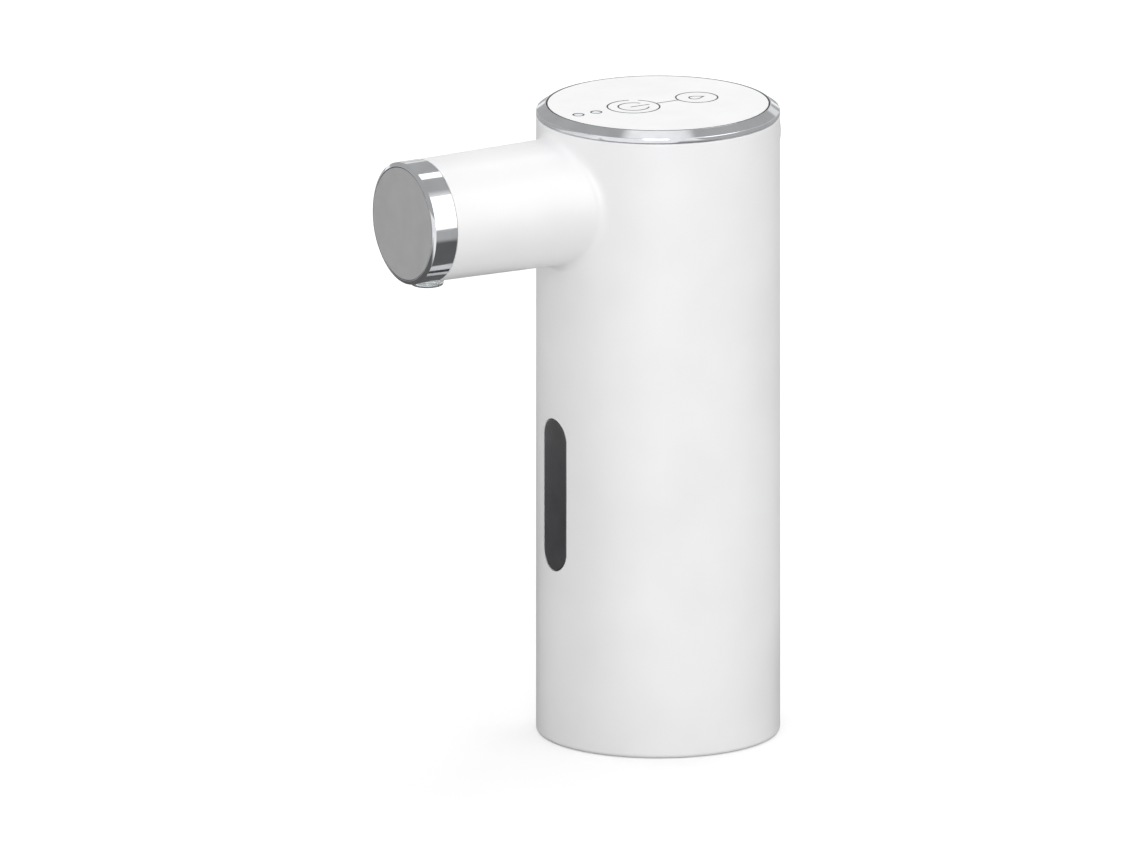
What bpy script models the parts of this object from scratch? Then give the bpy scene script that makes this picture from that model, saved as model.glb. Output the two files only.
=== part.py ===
"""Electric wine aerator: a battery air pump in a round column that stands on a bottle's neck.

The pump presses air into the bottle, and the wine rises through a hose, runs through the spout arm
and leaves by a nozzle under its end. The column's axis is upright, the spout points to -Y, and the
origin is under the middle of the whole object, on the plane that the base rim stands on.
"""

import math

import bmesh
import bpy
from mathutils import Vector

MM = 0.001

# Fits
GAP = 0.3 * MM  # between pieces that touch on the real product
SEAM = 0.15 * MM  # at the seams that show
OVERRUN = 1.0 * MM  # how far a cutter runs past the face that it cuts
SINK = 0.25 * MM  # how far a shape reaches into the one that it is fused with

# Column
BODY_RADIUS = 23.0 * MM
BODY_WALL = 2.0 * MM
TOTAL_HEIGHT = 121.8 * MM
BASE_EDGE_RADIUS = 0.9 * MM

# Spout arm, whose distances are counted from the column's axis
ARM_DROP = 16.15 * MM  # from the panel down to the arm's axis
ARM_ROOT_RADIUS = 12.04 * MM
ARM_END_RADIUS = 11.66 * MM
ARM_BORE_RADIUS = 9.6 * MM
ARM_BLEND = 1.6 * MM
SPIGOT_RADIUS = 10.55 * MM
SPIGOT_LENGTH = 3.95 * MM

# Spout end
SPOUT_REACH = 56.2 * MM
TRIM_LENGTH = 5.25 * MM  # from the arm's end to the spout's face
TRIM_CHAMFER_LENGTH = 0.45 * MM
TRIM_CHAMFER_DEPTH = 0.72 * MM
CAP_THICKNESS = 1.0 * MM
CAP_SKIRT_LENGTH = 3.0 * MM
CAP_SKIRT_WALL = 1.2 * MM
NOZZLE_SETBACK = 5.4 * MM  # from the spout's face back to the nozzle's middle
NOZZLE_RADIUS = 3.2 * MM
NOZZLE_BORE_RADIUS = 2.05 * MM
NOZZLE_PROUD = 0.9 * MM
NOZZLE_COLLAR_RADIUS = 4.0 * MM
NOZZLE_COLLAR_HEIGHT = 1.2 * MM

# Bezel ring and panel
BEZEL_HEIGHT = 2.09 * MM
BEZEL_BAND = 0.88 * MM
BEZEL_WIDTH = 1.85 * MM
BEZEL_SPIGOT_WALL = 0.8 * MM
BEZEL_SPIGOT_LENGTH = 2.4 * MM
PANEL_THICKNESS = 1.2 * MM
LENS_RADIUS = 0.94 * MM
LENS_FLANGE_RADIUS = 1.5 * MM
LENS_FLANGE_HEIGHT = 0.9 * MM
LENS_MARGIN = 3.35 * MM  # from the panel's edge in to the front lens's middle
LENS_PITCH = 3.9 * MM
POWER_KEY_PLACE = 5.4 * MM
MODE_KEY_PLACE = -8.5 * MM

# Window
WINDOW_WIDTH = 8.0 * MM
WINDOW_HEIGHT = 29.3 * MM
WINDOW_RISE = 3.65 * MM  # from the bulkhead's top up to the window's lower end
WINDOW_FLANGE = 1.2 * MM
WINDOW_FLANGE_THICKNESS = 0.8 * MM

# Charging port and its cover
SOCKET_WIDTH = 8.94 * MM
SOCKET_HEIGHT = 3.26 * MM
SOCKET_LENGTH = 7.35 * MM
SOCKET_WALL = 0.3 * MM
SOCKET_DEPTH = 6.2 * MM
SOCKET_TONGUE_WIDTH = 6.69 * MM
SOCKET_TONGUE_HEIGHT = 0.7 * MM
SOCKET_TONGUE_LENGTH = 4.4 * MM
COVER_WIDTH = 13.5 * MM
COVER_HEIGHT = 6.5 * MM
COVER_PROUD = 1.1 * MM
COVER_RECESS = 1.0 * MM
COVER_LUG_MARGIN = 0.35 * MM
COVER_LUG_HEIGHT = 2.6 * MM
COVER_LUG_LENGTH = 1.3 * MM
COVER_PIVOT_PROUD = 0.35 * MM
ANCHOR_WIDTH = 5.0 * MM
ANCHOR_HEIGHT = 1.6 * MM
ANCHOR_STEM_RADIUS = 0.55 * MM
ANCHOR_HEAD_RADIUS = 1.0 * MM
ANCHOR_HEAD_LENGTH = 0.7 * MM

# Bulkhead, its screws and bosses
BULKHEAD_HEIGHT = 27.3 * MM  # of its underside over the base plane
BULKHEAD_THICKNESS = 3.0 * MM
BULKHEAD_RIM_HEIGHT = 3.2 * MM
BULKHEAD_RIM_WALL = 1.2 * MM
BOSS_RADIUS = 2.6 * MM
BOSS_HEIGHT = 11.0 * MM
BOSS_EMBED = 0.4 * MM
BOSS_ANGLES = (90.0, 228.0, 312.0)
SCREW_RADIUS = 1.1 * MM
SCREW_LENGTH = 9.0 * MM
SCREW_HEAD_RADIUS = 2.1 * MM
SCREW_HEAD_HEIGHT = 1.3 * MM
SCREW_DRIVE_RADIUS = 0.8 * MM
SCREW_DRIVE_DEPTH = 0.7 * MM

# Stopper
STOPPER_FLANGE_RADIUS = 14.5 * MM
STOPPER_FLANGE_HEIGHT = 3.4 * MM
STOPPER_LENGTH = 16.0 * MM
STOPPER_RIB_RADIUS = 9.8 * MM
STOPPER_NECK_RADIUS = 8.2 * MM
STOPPER_RIBS = 4
STOPPER_TAPER = 0.9 * MM
CORE_RADIUS = 5.0 * MM
CORE_FLANGE_RADIUS = 10.0 * MM
CORE_FLANGE_HEIGHT = 1.8 * MM
CORE_TIP_HEIGHT = 1.0 * MM  # of the barb's tip over the base plane
CORE_BARB_LENGTH = 5.0 * MM
CORE_BARB_RADIUS = 2.6 * MM
CORE_BARB_RIDGE = 0.45 * MM

# Wine's way
HOSE_RADIUS = 3.5 * MM
HOSE_BORE_RADIUS = 2.4 * MM
WINE_BORE_RADIUS = 1.4 * MM
SPIGOT_GRIP = 6.0 * MM  # how far a hose reaches over its spigot
WINE_INLET_PLACE = (0.0, -1.6 * MM)
WINE_SPIGOT_PLACE = (1.5 * MM, -8.0 * MM)
WINE_GROOVE_DEPTH = 1.8 * MM
RISER_CLEARANCE = 1.6 * MM  # between the riser hose and the pieces that fit in the shell
RISER_BEND_HEIGHT = 20.0 * MM
ELBOW_BEND = 4.2 * MM
ELBOW_COLLAR_RADIUS = 3.3 * MM
ELBOW_COLLAR_LENGTH = 1.2 * MM

# Air's way
AIR_BORE_RADIUS = 0.8 * MM
AIR_SPIGOT_RADIUS = 1.5 * MM
AIR_SPIGOT_LENGTH = 4.6 * MM
AIR_HOSE_WALL = 0.9 * MM
AIR_OUTLET_PLACE = (-2.6 * MM, 2.0 * MM)
AIR_GROOVE_DEPTH = 1.2 * MM

# Pump and motor
PUMP_ANGLE = math.radians(162.6)  # round the column, from +X
PUMP_RADIUS = 11.5 * MM
PUMP_HEIGHT = 47.0 * MM  # of the pump head's underside over the base plane
HEAD_THICKNESS = 4.0 * MM
HEAD_CHAMBER_RADIUS = 4.5 * MM
HEAD_CHAMBER_DEPTH = 2.0 * MM
VALVE_THICKNESS = 1.5 * MM
VALVE_HOLE_RADIUS = 0.6 * MM
VALVE_HOLE_SHARES = {"inlet": 1.3, "outlet": 0.62}  # of the cups' circle
SHEET_THICKNESS = 1.0 * MM
CUPS = 3
CUP_CIRCLE = 6.2 * MM
CUP_RADIUS = 3.2 * MM
CUP_WALL = 0.7 * MM
CUP_HEIGHT = 3.5 * MM
CUP_STEM_RADIUS = 0.8 * MM
BASE_WALL = 1.2 * MM
BASE_HEIGHT = 17.1 * MM
BASE_FLOOR = 1.5 * MM
WOBBLE_TILT = math.radians(7.0)
WOBBLE_LIFT = 3.9 * MM  # of the nutation centre over the diaphragm sheet's top
PLATE_LOW = 2.2 * MM  # of the wobble plate's arms over the nutation centre
PLATE_THICKNESS = 1.6 * MM
PLATE_HUB_RADIUS = 2.2 * MM
PLATE_HUB_RISE = 0.8 * MM
PLATE_PAD_RADIUS = 1.9 * MM
PLATE_ARM_WIDTH = 2.2 * MM
PIN_RADIUS = 0.75 * MM
PIN_LOW = 0.3 * MM
PIN_HIGH = 7.9 * MM
ECCENTRIC_RADIUS = 4.0 * MM
ECCENTRIC_LOW = 5.5 * MM  # over the nutation centre
ECCENTRIC_HEIGHT = 6.0 * MM
ECCENTRIC_SHAFT_DEPTH = 2.8 * MM
MOTOR_RADIUS = 12.0 * MM
MOTOR_LENGTH = 20.0 * MM
MOTOR_WALL = 0.8 * MM
MOTOR_BOSS_RADIUS = 3.0 * MM
MOTOR_BOSS_HEIGHT = 1.2 * MM
MAGNET_THICKNESS = 1.5 * MM
MAGNET_LENGTH = 13.0 * MM
ROTOR_AIR_GAP = 0.5 * MM
ROTOR_LENGTH = 11.0 * MM
ROTOR_POLES = 3
ROTOR_SLOT_WIDTH = 2.4 * MM
ROTOR_SLOT_DEPTH = 4.5 * MM
SHAFT_RADIUS = 1.0 * MM
END_CAP_HEIGHT = 1.5 * MM
END_CAP_LIP = 1.6 * MM
END_CAP_LIP_WALL = 1.0 * MM
BUSH_RADIUS = 2.6 * MM
BUSH_HEIGHT = 1.0 * MM

# Battery and chassis
CELL_RADIUS = 7.0 * MM
CELL_LENGTH = 50.0 * MM
CELL_ANGLE = math.radians(21.6)  # round the column, from +X
CELL_CLEARANCE = 0.45 * MM  # to the shell
CELL_TIP_RADIUS = 2.8 * MM
CELL_TIP_HEIGHT = 1.0 * MM
CELL_EDGE_RADIUS = 0.6 * MM
CHASSIS_PLATE = 1.5 * MM
CHASSIS_WALL = 1.1 * MM
CHASSIS_CRADLE_LENGTH = 44.0 * MM
CHASSIS_SHELF = 1.4 * MM
CHASSIS_CLIP_LENGTH = 34.0 * MM
CHASSIS_CLIP_OFFSET = 3.5 * MM  # from the motor's middle to the clip's open side
CHASSIS_POST_RADIUS = 1.8 * MM
CHASSIS_POST_ANGLES = (143.0, 217.0)
CHASSIS_HOSE_ROOM = 0.8 * MM

# Main board
BOARD_MARGIN = 1.3 * MM
BOARD_THICKNESS = 1.0 * MM
BOARD_LEDGE = 1.8 * MM
BOARD_LEDGE_HEIGHT = 1.0 * MM
BOARD_DROP = 5.1 * MM  # from the panel's top down to the board's underside
SPRING_RADIUS = 2.4 * MM
SPRING_WIRE_RADIUS = 0.2 * MM
SPRING_TURNS = 1.75
LED_LENGTH = 1.6 * MM
LED_WIDTH = 0.8 * MM
LED_HEIGHT = 0.6 * MM
LEAD_RADIUS = 0.55 * MM
LEAD_SPACING = 3.0 * MM

# Fineness of round shapes
WIDE_STEPS = 64
ARM_STEPS = 40
ROUND_STEPS = 24
SMALL_STEPS = 12
WELD = 0.002 * MM  # points nearer than this are one point

# Worked out from the sizes above
AXIS_Y = (SPOUT_REACH - BODY_RADIUS - COVER_PROUD) / 2
INNER_RADIUS = BODY_RADIUS - BODY_WALL
FIT_RADIUS = INNER_RADIUS - GAP
PUMP_REACH = FIT_RADIUS - MOTOR_RADIUS
PUMP_PLACE = (PUMP_REACH * math.cos(PUMP_ANGLE), PUMP_REACH * math.sin(PUMP_ANGLE))
CELL_REACH = INNER_RADIUS - CELL_CLEARANCE - CELL_RADIUS
CELL_PLACE = (CELL_REACH * math.cos(CELL_ANGLE), CELL_REACH * math.sin(CELL_ANGLE))
RISER_PLACE = (0.0, HOSE_RADIUS + RISER_CLEARANCE - FIT_RADIUS)
BOARD_RADIUS = FIT_RADIUS - BOARD_MARGIN
ARM_HEIGHT = TOTAL_HEIGHT - ARM_DROP
ARM_END = SPOUT_REACH - TRIM_LENGTH
NOZZLE_PLACE = SPOUT_REACH - NOZZLE_SETBACK
ARM_SLOPE = (ARM_ROOT_RADIUS - ARM_END_RADIUS) / (ARM_END - BODY_RADIUS)
SPIGOT_END = ARM_END + SPIGOT_LENGTH
TRIM_BORE_RADIUS = SPIGOT_RADIUS + GAP
CAP_BACK = SPOUT_REACH - CAP_THICKNESS
BEZEL_LOW = TOTAL_HEIGHT - BEZEL_HEIGHT
HOUSING_TOP = BEZEL_LOW - SEAM
BEZEL_BORE_RADIUS = BODY_RADIUS - BEZEL_WIDTH
PANEL_RADIUS = BEZEL_BORE_RADIUS - GAP
LENS_PLACES = (PANEL_RADIUS - LENS_MARGIN, PANEL_RADIUS - LENS_MARGIN - LENS_PITCH)
PANEL_LOW = TOTAL_HEIGHT - PANEL_THICKNESS
BOARD_LOW = TOTAL_HEIGHT - BOARD_DROP
BOARD_TOP = BOARD_LOW + BOARD_THICKNESS
PORT_HEIGHT = BOARD_LOW - GAP - SOCKET_HEIGHT / 2
SOCKET_MOUTH = math.sqrt(INNER_RADIUS**2 - (SOCKET_WIDTH / 2) ** 2) - GAP
PORT_HOLE_WIDTH = SOCKET_WIDTH + 2 * GAP
PORT_HOLE_HEIGHT = SOCKET_HEIGHT + 2 * GAP
COVER_LOW = PORT_HEIGHT - COVER_HEIGHT / 2
COVER_INNER_RADIUS = BODY_RADIUS - COVER_RECESS + GAP
BULKHEAD_TOP = BULKHEAD_HEIGHT + BULKHEAD_THICKNESS
WINDOW_MIDDLE = BULKHEAD_TOP + WINDOW_RISE + WINDOW_HEIGHT / 2
BOSS_PLACE = INNER_RADIUS - BOSS_RADIUS + BOSS_EMBED
CORE_TOP = BULKHEAD_HEIGHT - GAP
CORE_STEM_LOW = CORE_TIP_HEIGHT + CORE_BARB_LENGTH
STOPPER_SEAT = CORE_TOP - STOPPER_FLANGE_HEIGHT
STOPPER_LOW = STOPPER_SEAT - STOPPER_LENGTH
BARB_RADIUS = HOSE_BORE_RADIUS - GAP
AIR_HOSE_BORE_RADIUS = AIR_SPIGOT_RADIUS + GAP
AIR_HOSE_RADIUS = AIR_HOSE_BORE_RADIUS + AIR_HOSE_WALL
RISER_TOP = ARM_HEIGHT - ELBOW_BEND - ELBOW_COLLAR_LENGTH - GAP
SPOUT_HOSE_START = -RISER_PLACE[1] + ELBOW_BEND + ELBOW_COLLAR_LENGTH + GAP
SPOUT_HOSE_END = NOZZLE_PLACE - NOZZLE_RADIUS - GAP
CHASSIS_LOW = BULKHEAD_TOP + GAP
CHASSIS_TOP = CHASSIS_LOW + CHASSIS_PLATE
SHELF_TOP = PUMP_HEIGHT - GAP
CELL_LOW = CHASSIS_TOP + GAP
CELL_HIGH = CELL_LOW + CELL_LENGTH
HEAD_TOP = PUMP_HEIGHT + HEAD_THICKNESS
VALVE_LOW = HEAD_TOP + GAP
SHEET_LOW = VALVE_LOW + VALVE_THICKNESS + GAP
SHEET_TOP = SHEET_LOW + SHEET_THICKNESS
BASE_LOW = SHEET_TOP + GAP
BASE_TOP = BASE_LOW + BASE_HEIGHT
CENTRE_HEIGHT = SHEET_TOP + WOBBLE_LIFT
ECCENTRIC_TOP = CENTRE_HEIGHT + ECCENTRIC_LOW + ECCENTRIC_HEIGHT
MOTOR_LOW = BASE_TOP + GAP
MOTOR_TOP = MOTOR_LOW + MOTOR_LENGTH
END_CAP_TOP = MOTOR_TOP + GAP + END_CAP_HEIGHT
MOTOR_MIDDLE = (MOTOR_LOW + MOTOR_WALL + MOTOR_TOP) / 2
MAGNET_RADIUS = MOTOR_RADIUS - MOTOR_WALL - GAP
ROTOR_RADIUS = MAGNET_RADIUS - MAGNET_THICKNESS - ROTOR_AIR_GAP


def start_empty():
    """Take everything out of the file, so that the model is built alone."""
    for thing in list(bpy.data.objects):
        bpy.data.objects.remove(thing, do_unlink=True)
    for group in list(bpy.data.collections):
        bpy.data.collections.remove(group)


def new_collection(name):
    group = bpy.data.collections.new(name)
    bpy.context.scene.collection.children.link(group)
    return group


def new_material(name, colour, roughness, metallic=0.0, alpha=1.0):
    """A Principled material from a linear colour."""
    material = bpy.data.materials.new(name)
    material.use_nodes = True
    shader = material.node_tree.nodes["Principled BSDF"]
    shader.inputs["Base Color"].default_value = (*colour, 1.0)
    shader.inputs["Roughness"].default_value = roughness
    shader.inputs["Metallic"].default_value = metallic
    shader.inputs["Alpha"].default_value = alpha
    material.diffuse_color = (*colour, alpha)
    material.metallic = metallic
    material.roughness = roughness
    return material


start_empty()
PARTS = new_collection("electric_wine_aerator")
TOOLS = new_collection("cutters")


def new_frame(name, place, turn=(0.0, 0.0, 0.0), parent=None):
    """An empty that stands for an axis and carries the pieces on it."""
    frame = bpy.data.objects.new(name, None)
    frame.empty_display_size = BODY_WALL
    PARTS.objects.link(frame)
    frame.location = place
    frame.rotation_euler = turn
    frame.parent = parent
    return frame


BODY_AXIS = new_frame("body_axis", (0.0, AXIS_Y, 0.0))
ARM_AXIS = new_frame("arm_axis", (0.0, 0.0, ARM_HEIGHT), (math.pi / 2, 0.0, 0.0), BODY_AXIS)
PUMP_AXIS = new_frame("pump_axis", (*PUMP_PLACE, CENTRE_HEIGHT), parent=BODY_AXIS)
PIN_AXIS = new_frame("pin_axis", (0.0, 0.0, 0.0), (0.0, WOBBLE_TILT, 0.0), PUMP_AXIS)


def place(mesh, name, at=(0.0, 0.0, 0.0), turn=(0.0, 0.0, 0.0), parent=None, material=None):
    """Put a mesh in the scene: as a part where it has a material, else as a tool for a Boolean."""
    thing = bpy.data.objects.new(name, mesh)
    thing.location = at
    thing.rotation_euler = turn
    thing.parent = parent or BODY_AXIS
    if material:
        mesh.materials.clear()
        mesh.materials.append(material)
        PARTS.objects.link(thing)
    else:
        thing.hide_render = True
        thing.display_type = "WIRE"
        TOOLS.objects.link(thing)
    return thing


def shade(mesh):
    mesh.shade_smooth()
    mesh.set_sharp_from_angle(angle=math.radians(35.0))


def settle(thing):
    """Apply an object's modifiers, merge what lies on one point and shade the result."""
    bpy.context.view_layer.update()
    graph = bpy.context.evaluated_depsgraph_get()
    mesh = bpy.data.meshes.new_from_object(thing.evaluated_get(graph))
    mesh.name = thing.name
    shape = bmesh.new()
    shape.from_mesh(mesh)
    bmesh.ops.remove_doubles(shape, verts=shape.verts, dist=WELD)
    bmesh.ops.dissolve_degenerate(shape, edges=shape.edges, dist=WELD)
    shape.to_mesh(mesh)
    shape.free()
    thing.modifiers.clear()
    thing.data = mesh
    shade(mesh)
    return thing


def combine(thing, tools, operation):
    """Join, cut or trim an object with others, one Boolean after the other."""
    for tool in tools:
        modifier = thing.modifiers.new(operation.lower() + "_" + tool.name, "BOOLEAN")
        modifier.operation = operation
        modifier.solver = "EXACT"
        modifier.object = tool
    return settle(thing)


def fuse(thing, *tools):
    return combine(thing, tools, "UNION")


def cut(thing, *tools):
    return combine(thing, tools, "DIFFERENCE")


def trim(thing, *tools):
    return combine(thing, tools, "INTERSECT")


def rod_mesh(radius, length, steps=ROUND_STEPS, top_radius=None):
    """An upright cylinder or cone that stands on its origin."""
    mesh = bpy.data.meshes.new("rod")
    shape = bmesh.new()
    top = radius if top_radius is None else top_radius
    bmesh.ops.create_cone(
        shape, cap_ends=True, segments=steps, radius1=radius, radius2=top, depth=length
    )
    bmesh.ops.translate(shape, verts=shape.verts, vec=(0.0, 0.0, length / 2))
    shape.to_mesh(mesh)
    shape.free()
    shade(mesh)
    return mesh


def block_mesh(low, high):
    """A box from its lowest to its highest corner."""
    mesh = bpy.data.meshes.new("block")
    shape = bmesh.new()
    bmesh.ops.create_cube(shape, size=1.0)
    size = [b - a for a, b in zip(low, high)]
    middle = [(a + b) / 2 for a, b in zip(low, high)]
    bmesh.ops.scale(shape, vec=size, verts=shape.verts)
    bmesh.ops.translate(shape, vec=middle, verts=shape.verts)
    shape.to_mesh(mesh)
    shape.free()
    return mesh


def turned_mesh(profile, steps=ROUND_STEPS):
    """Turn a profile of (radius, height) points round Z.

    The points run down the outer side. A profile that starts and ends on the axis gives a solid
    piece, and any other is closed into a ring.
    """
    outline = bpy.data.meshes.new("profile")
    points = [(radius, 0.0, height) for radius, height in profile]
    edges = [(i, i + 1) for i in range(len(points) - 1)]
    if profile[0][0] > 0 or profile[-1][0] > 0:
        edges.append((len(points) - 1, 0))
    outline.from_pydata(points, edges, [])
    lathe = bpy.data.objects.new("lathe", outline)
    bpy.context.scene.collection.objects.link(lathe)
    screw = lathe.modifiers.new("screw", "SCREW")
    screw.steps = steps
    screw.render_steps = steps
    screw.use_merge_vertices = True
    screw.merge_threshold = WELD
    settle(lathe)
    mesh = lathe.data
    bpy.data.objects.remove(lathe)
    return mesh


def tube_mesh(outer, inner, length, steps=ROUND_STEPS):
    return turned_mesh([(outer, length), (outer, 0.0), (inner, 0.0), (inner, length)], steps)


def arc_points(centre, radius, start, end, steps):
    """Points of an arc between two angles in degrees, both ends among them."""
    points = []
    for i in range(steps + 1):
        angle = math.radians(start + (end - start) * i / steps)
        points.append((centre[0] + radius * math.cos(angle), centre[1] + radius * math.sin(angle)))
    return points


def rounded_outline(width, height, radius, steps=6):
    """Outline of a rectangle with rounded corners, about the origin."""
    across = width / 2 - radius
    up = height / 2 - radius
    points = []
    corners = ((across, up, 0.0), (-across, up, 90.0), (-across, -up, 180.0), (across, -up, 270.0))
    for x, y, angle in corners:
        for point in arc_points((x, y), radius, angle, angle + 90.0, steps):
            if not points or math.dist(point, points[-1]) > SINK / WIDE_STEPS:
                points.append(point)
    if math.dist(points[0], points[-1]) < SINK / WIDE_STEPS:
        points.pop()
    return points


def curve_mesh(curve):
    """The closed mesh of a curve, with its caps joined to its sides."""
    thing = bpy.data.objects.new("curve", curve)
    bpy.context.scene.collection.objects.link(thing)
    bpy.context.view_layer.update()
    graph = bpy.context.evaluated_depsgraph_get()
    mesh = bpy.data.meshes.new_from_object(thing.evaluated_get(graph))
    bpy.data.objects.remove(thing)
    shape = bmesh.new()
    shape.from_mesh(mesh)
    bmesh.ops.remove_doubles(shape, verts=shape.verts, dist=WELD)
    bmesh.ops.recalc_face_normals(shape, faces=shape.faces)
    shape.to_mesh(mesh)
    shape.free()
    shade(mesh)
    return mesh


def plate_mesh(outline, thickness):
    """A flat outline in XY, as thick along Z on both sides together."""
    curve = bpy.data.curves.new("plate", "CURVE")
    curve.dimensions = "2D"
    curve.fill_mode = "BOTH"
    curve.extrude = thickness / 2
    spline = curve.splines.new("POLY")
    spline.points.add(len(outline) - 1)
    for point, (x, y) in zip(spline.points, outline):
        point.co = (x, y, 0.0, 1.0)
    spline.use_cyclic_u = True
    return curve_mesh(curve)


def wire_mesh(points, radius, fineness=2):
    """A round wire along points, with closed ends."""
    curve = bpy.data.curves.new("wire", "CURVE")
    curve.dimensions = "3D"
    curve.bevel_depth = radius
    curve.bevel_resolution = fineness
    curve.use_fill_caps = True
    spline = curve.splines.new("POLY")
    spline.points.add(len(points) - 1)
    for point, where in zip(spline.points, points):
        point.co = (*where, 1.0)
    return curve_mesh(curve)


def linear(hex_colour):
    """Linear red, green and blue of an sRGB hex colour."""
    channels = []
    for i in (1, 3, 5):
        value = int(hex_colour[i:i + 2], 16) / 255
        channels.append(value / 12.92 if value <= 0.04045 else ((value + 0.055) / 1.055) ** 2.4)
    return tuple(channels)


WHITE_SHELL = new_material("white_shell_plastic", linear("#F0F0F1"), 0.38)
WHITE_PANEL = new_material("white_panel_acrylic", linear("#F7F7F8"), 0.12)
BRIGHT_RING = new_material("chromed_ring", linear("#C9CBCE"), 0.12, 1.0)
GREY_CAP = new_material("satin_grey_cap", linear("#A1A1A1"), 0.45, 0.3)
SMOKED = new_material("smoked_window", linear("#3C3D3F"), 0.15)
CLEAR = new_material("clear_plastic", linear("#E6E9EA"), 0.1, 0.0, 0.45)
LENS = new_material("lens_plastic", linear("#DDE3E6"), 0.2)
SILICONE = new_material("clear_silicone", linear("#D9DBD8"), 0.5, 0.0, 0.7)
WHITE_SILICONE = new_material("white_silicone", linear("#E9E9E8"), 0.55)
GREY_SILICONE = new_material("grey_silicone", linear("#8C8E90"), 0.6)
INNER_PLASTIC = new_material("inner_plastic", linear("#D4D5D2"), 0.5)
BLACK_PLASTIC = new_material("black_plastic", linear("#232426"), 0.5)
BLACK_RUBBER = new_material("black_rubber", linear("#1C1D1E"), 0.7)
STEEL = new_material("steel", linear("#B4B6B8"), 0.3, 1.0)
CELL_SLEEVE = new_material("cell_sleeve", linear("#3B6FA8"), 0.35)
BOARD_GREEN = new_material("circuit_board", linear("#1E6B3C"), 0.45)
MAGNET = new_material("magnet", linear("#3A3B3D"), 0.6, 0.2)
RED_LEAD = new_material("red_lead", linear("#C0282B"), 0.45)
BLACK_LEAD = new_material("black_lead", linear("#202123"), 0.45)


def arm_radius(reach):
    """Outer radius of the arm at a distance from the column's axis, which its draught sets."""
    return ARM_ROOT_RADIUS - ARM_SLOPE * (reach - BODY_RADIUS)


def arm_mesh(blend_steps=5, around=ARM_STEPS):
    """The spout arm as a loft along its axis, blended into the round column at its root.

    In each direction round the arm, a curve leaves the column's wall just under its surface, turns
    through the corner between column and arm, and ends on the drawn-in cone.
    """
    rows = [[] for _ in range(blend_steps + 5)]
    for i in range(around):
        angle = 2 * math.pi * i / around
        side, up = math.sin(angle), math.cos(angle)
        corner = BODY_RADIUS
        for _ in range(6):
            radius = arm_radius(corner)
            corner = math.sqrt(BODY_RADIUS**2 - (radius * side) ** 2)
        foot_radius = arm_radius(corner) + ARM_BLEND
        foot = math.sqrt(BODY_RADIUS**2 - (foot_radius * side) ** 2) - SINK
        tip = corner + ARM_BLEND
        curve = [(foot_radius, 0.0)]
        for step in range(blend_steps + 1):
            t = step / blend_steps
            near, middle, far = (1 - t) ** 2, 2 * t * (1 - t), t**2
            curve.append((
                near * foot_radius + middle * arm_radius(corner) + far * arm_radius(tip),
                near * foot + middle * corner + far * tip,
            ))
        curve.append((ARM_END_RADIUS, ARM_END))
        curve.append((SPIGOT_RADIUS, ARM_END))
        curve.append((SPIGOT_RADIUS, SPIGOT_END))
        for row, (radius, reach) in zip(rows, curve):
            row.append((radius * side, radius * up, reach))
    shape = bmesh.new()
    rings = [[shape.verts.new(point) for point in row] for row in rows]
    for low, high in zip(rings, rings[1:]):
        for i in range(around):
            j = (i + 1) % around
            shape.faces.new((low[i], low[j], high[j], high[i]))
    shape.faces.new(rings[0])
    shape.faces.new(rings[-1])
    bmesh.ops.recalc_face_normals(shape, faces=shape.faces)
    mesh = bpy.data.meshes.new("arm")
    shape.to_mesh(mesh)
    shape.free()
    shade(mesh)
    return mesh


def facing_prism(name, width, height, radius, near, far, at_height, side=1.0):
    """A tool: a rounded outline in XZ, carried along Y from near to far on one side."""
    mesh = plate_mesh(rounded_outline(width, height, radius), far - near)
    middle = side * (near + far) / 2
    return place(mesh, name, (0.0, middle, at_height), (math.pi / 2, 0.0, 0.0))


def curved_pad(name, inner, outer, prism):
    """A tool: the piece of a ring round the column's axis that lies inside a prism."""
    bpy.context.view_layer.update()
    tall = prism.dimensions.y
    low = prism.location.z - tall
    ring = place(tube_mesh(outer, inner, 2 * tall, WIDE_STEPS), name, (0.0, 0.0, low))
    return trim(ring, prism)


def boss_places():
    for angle in BOSS_ANGLES:
        turn = math.radians(angle)
        yield BOSS_PLACE * math.cos(turn), BOSS_PLACE * math.sin(turn)


def window_prism(name, margin):
    width = WINDOW_WIDTH + 2 * margin
    height = WINDOW_HEIGHT + 2 * margin
    near = INNER_RADIUS - 2 * WINDOW_FLANGE_THICKNESS
    return facing_prism(
        name, width, height, width / 2, near, BODY_RADIUS + OVERRUN, WINDOW_MIDDLE, -1.0
    )


def port_prism(name, width, height, near, far, at_height=PORT_HEIGHT):
    return facing_prism(name, width, height, height / 2, near, far, at_height)


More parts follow.
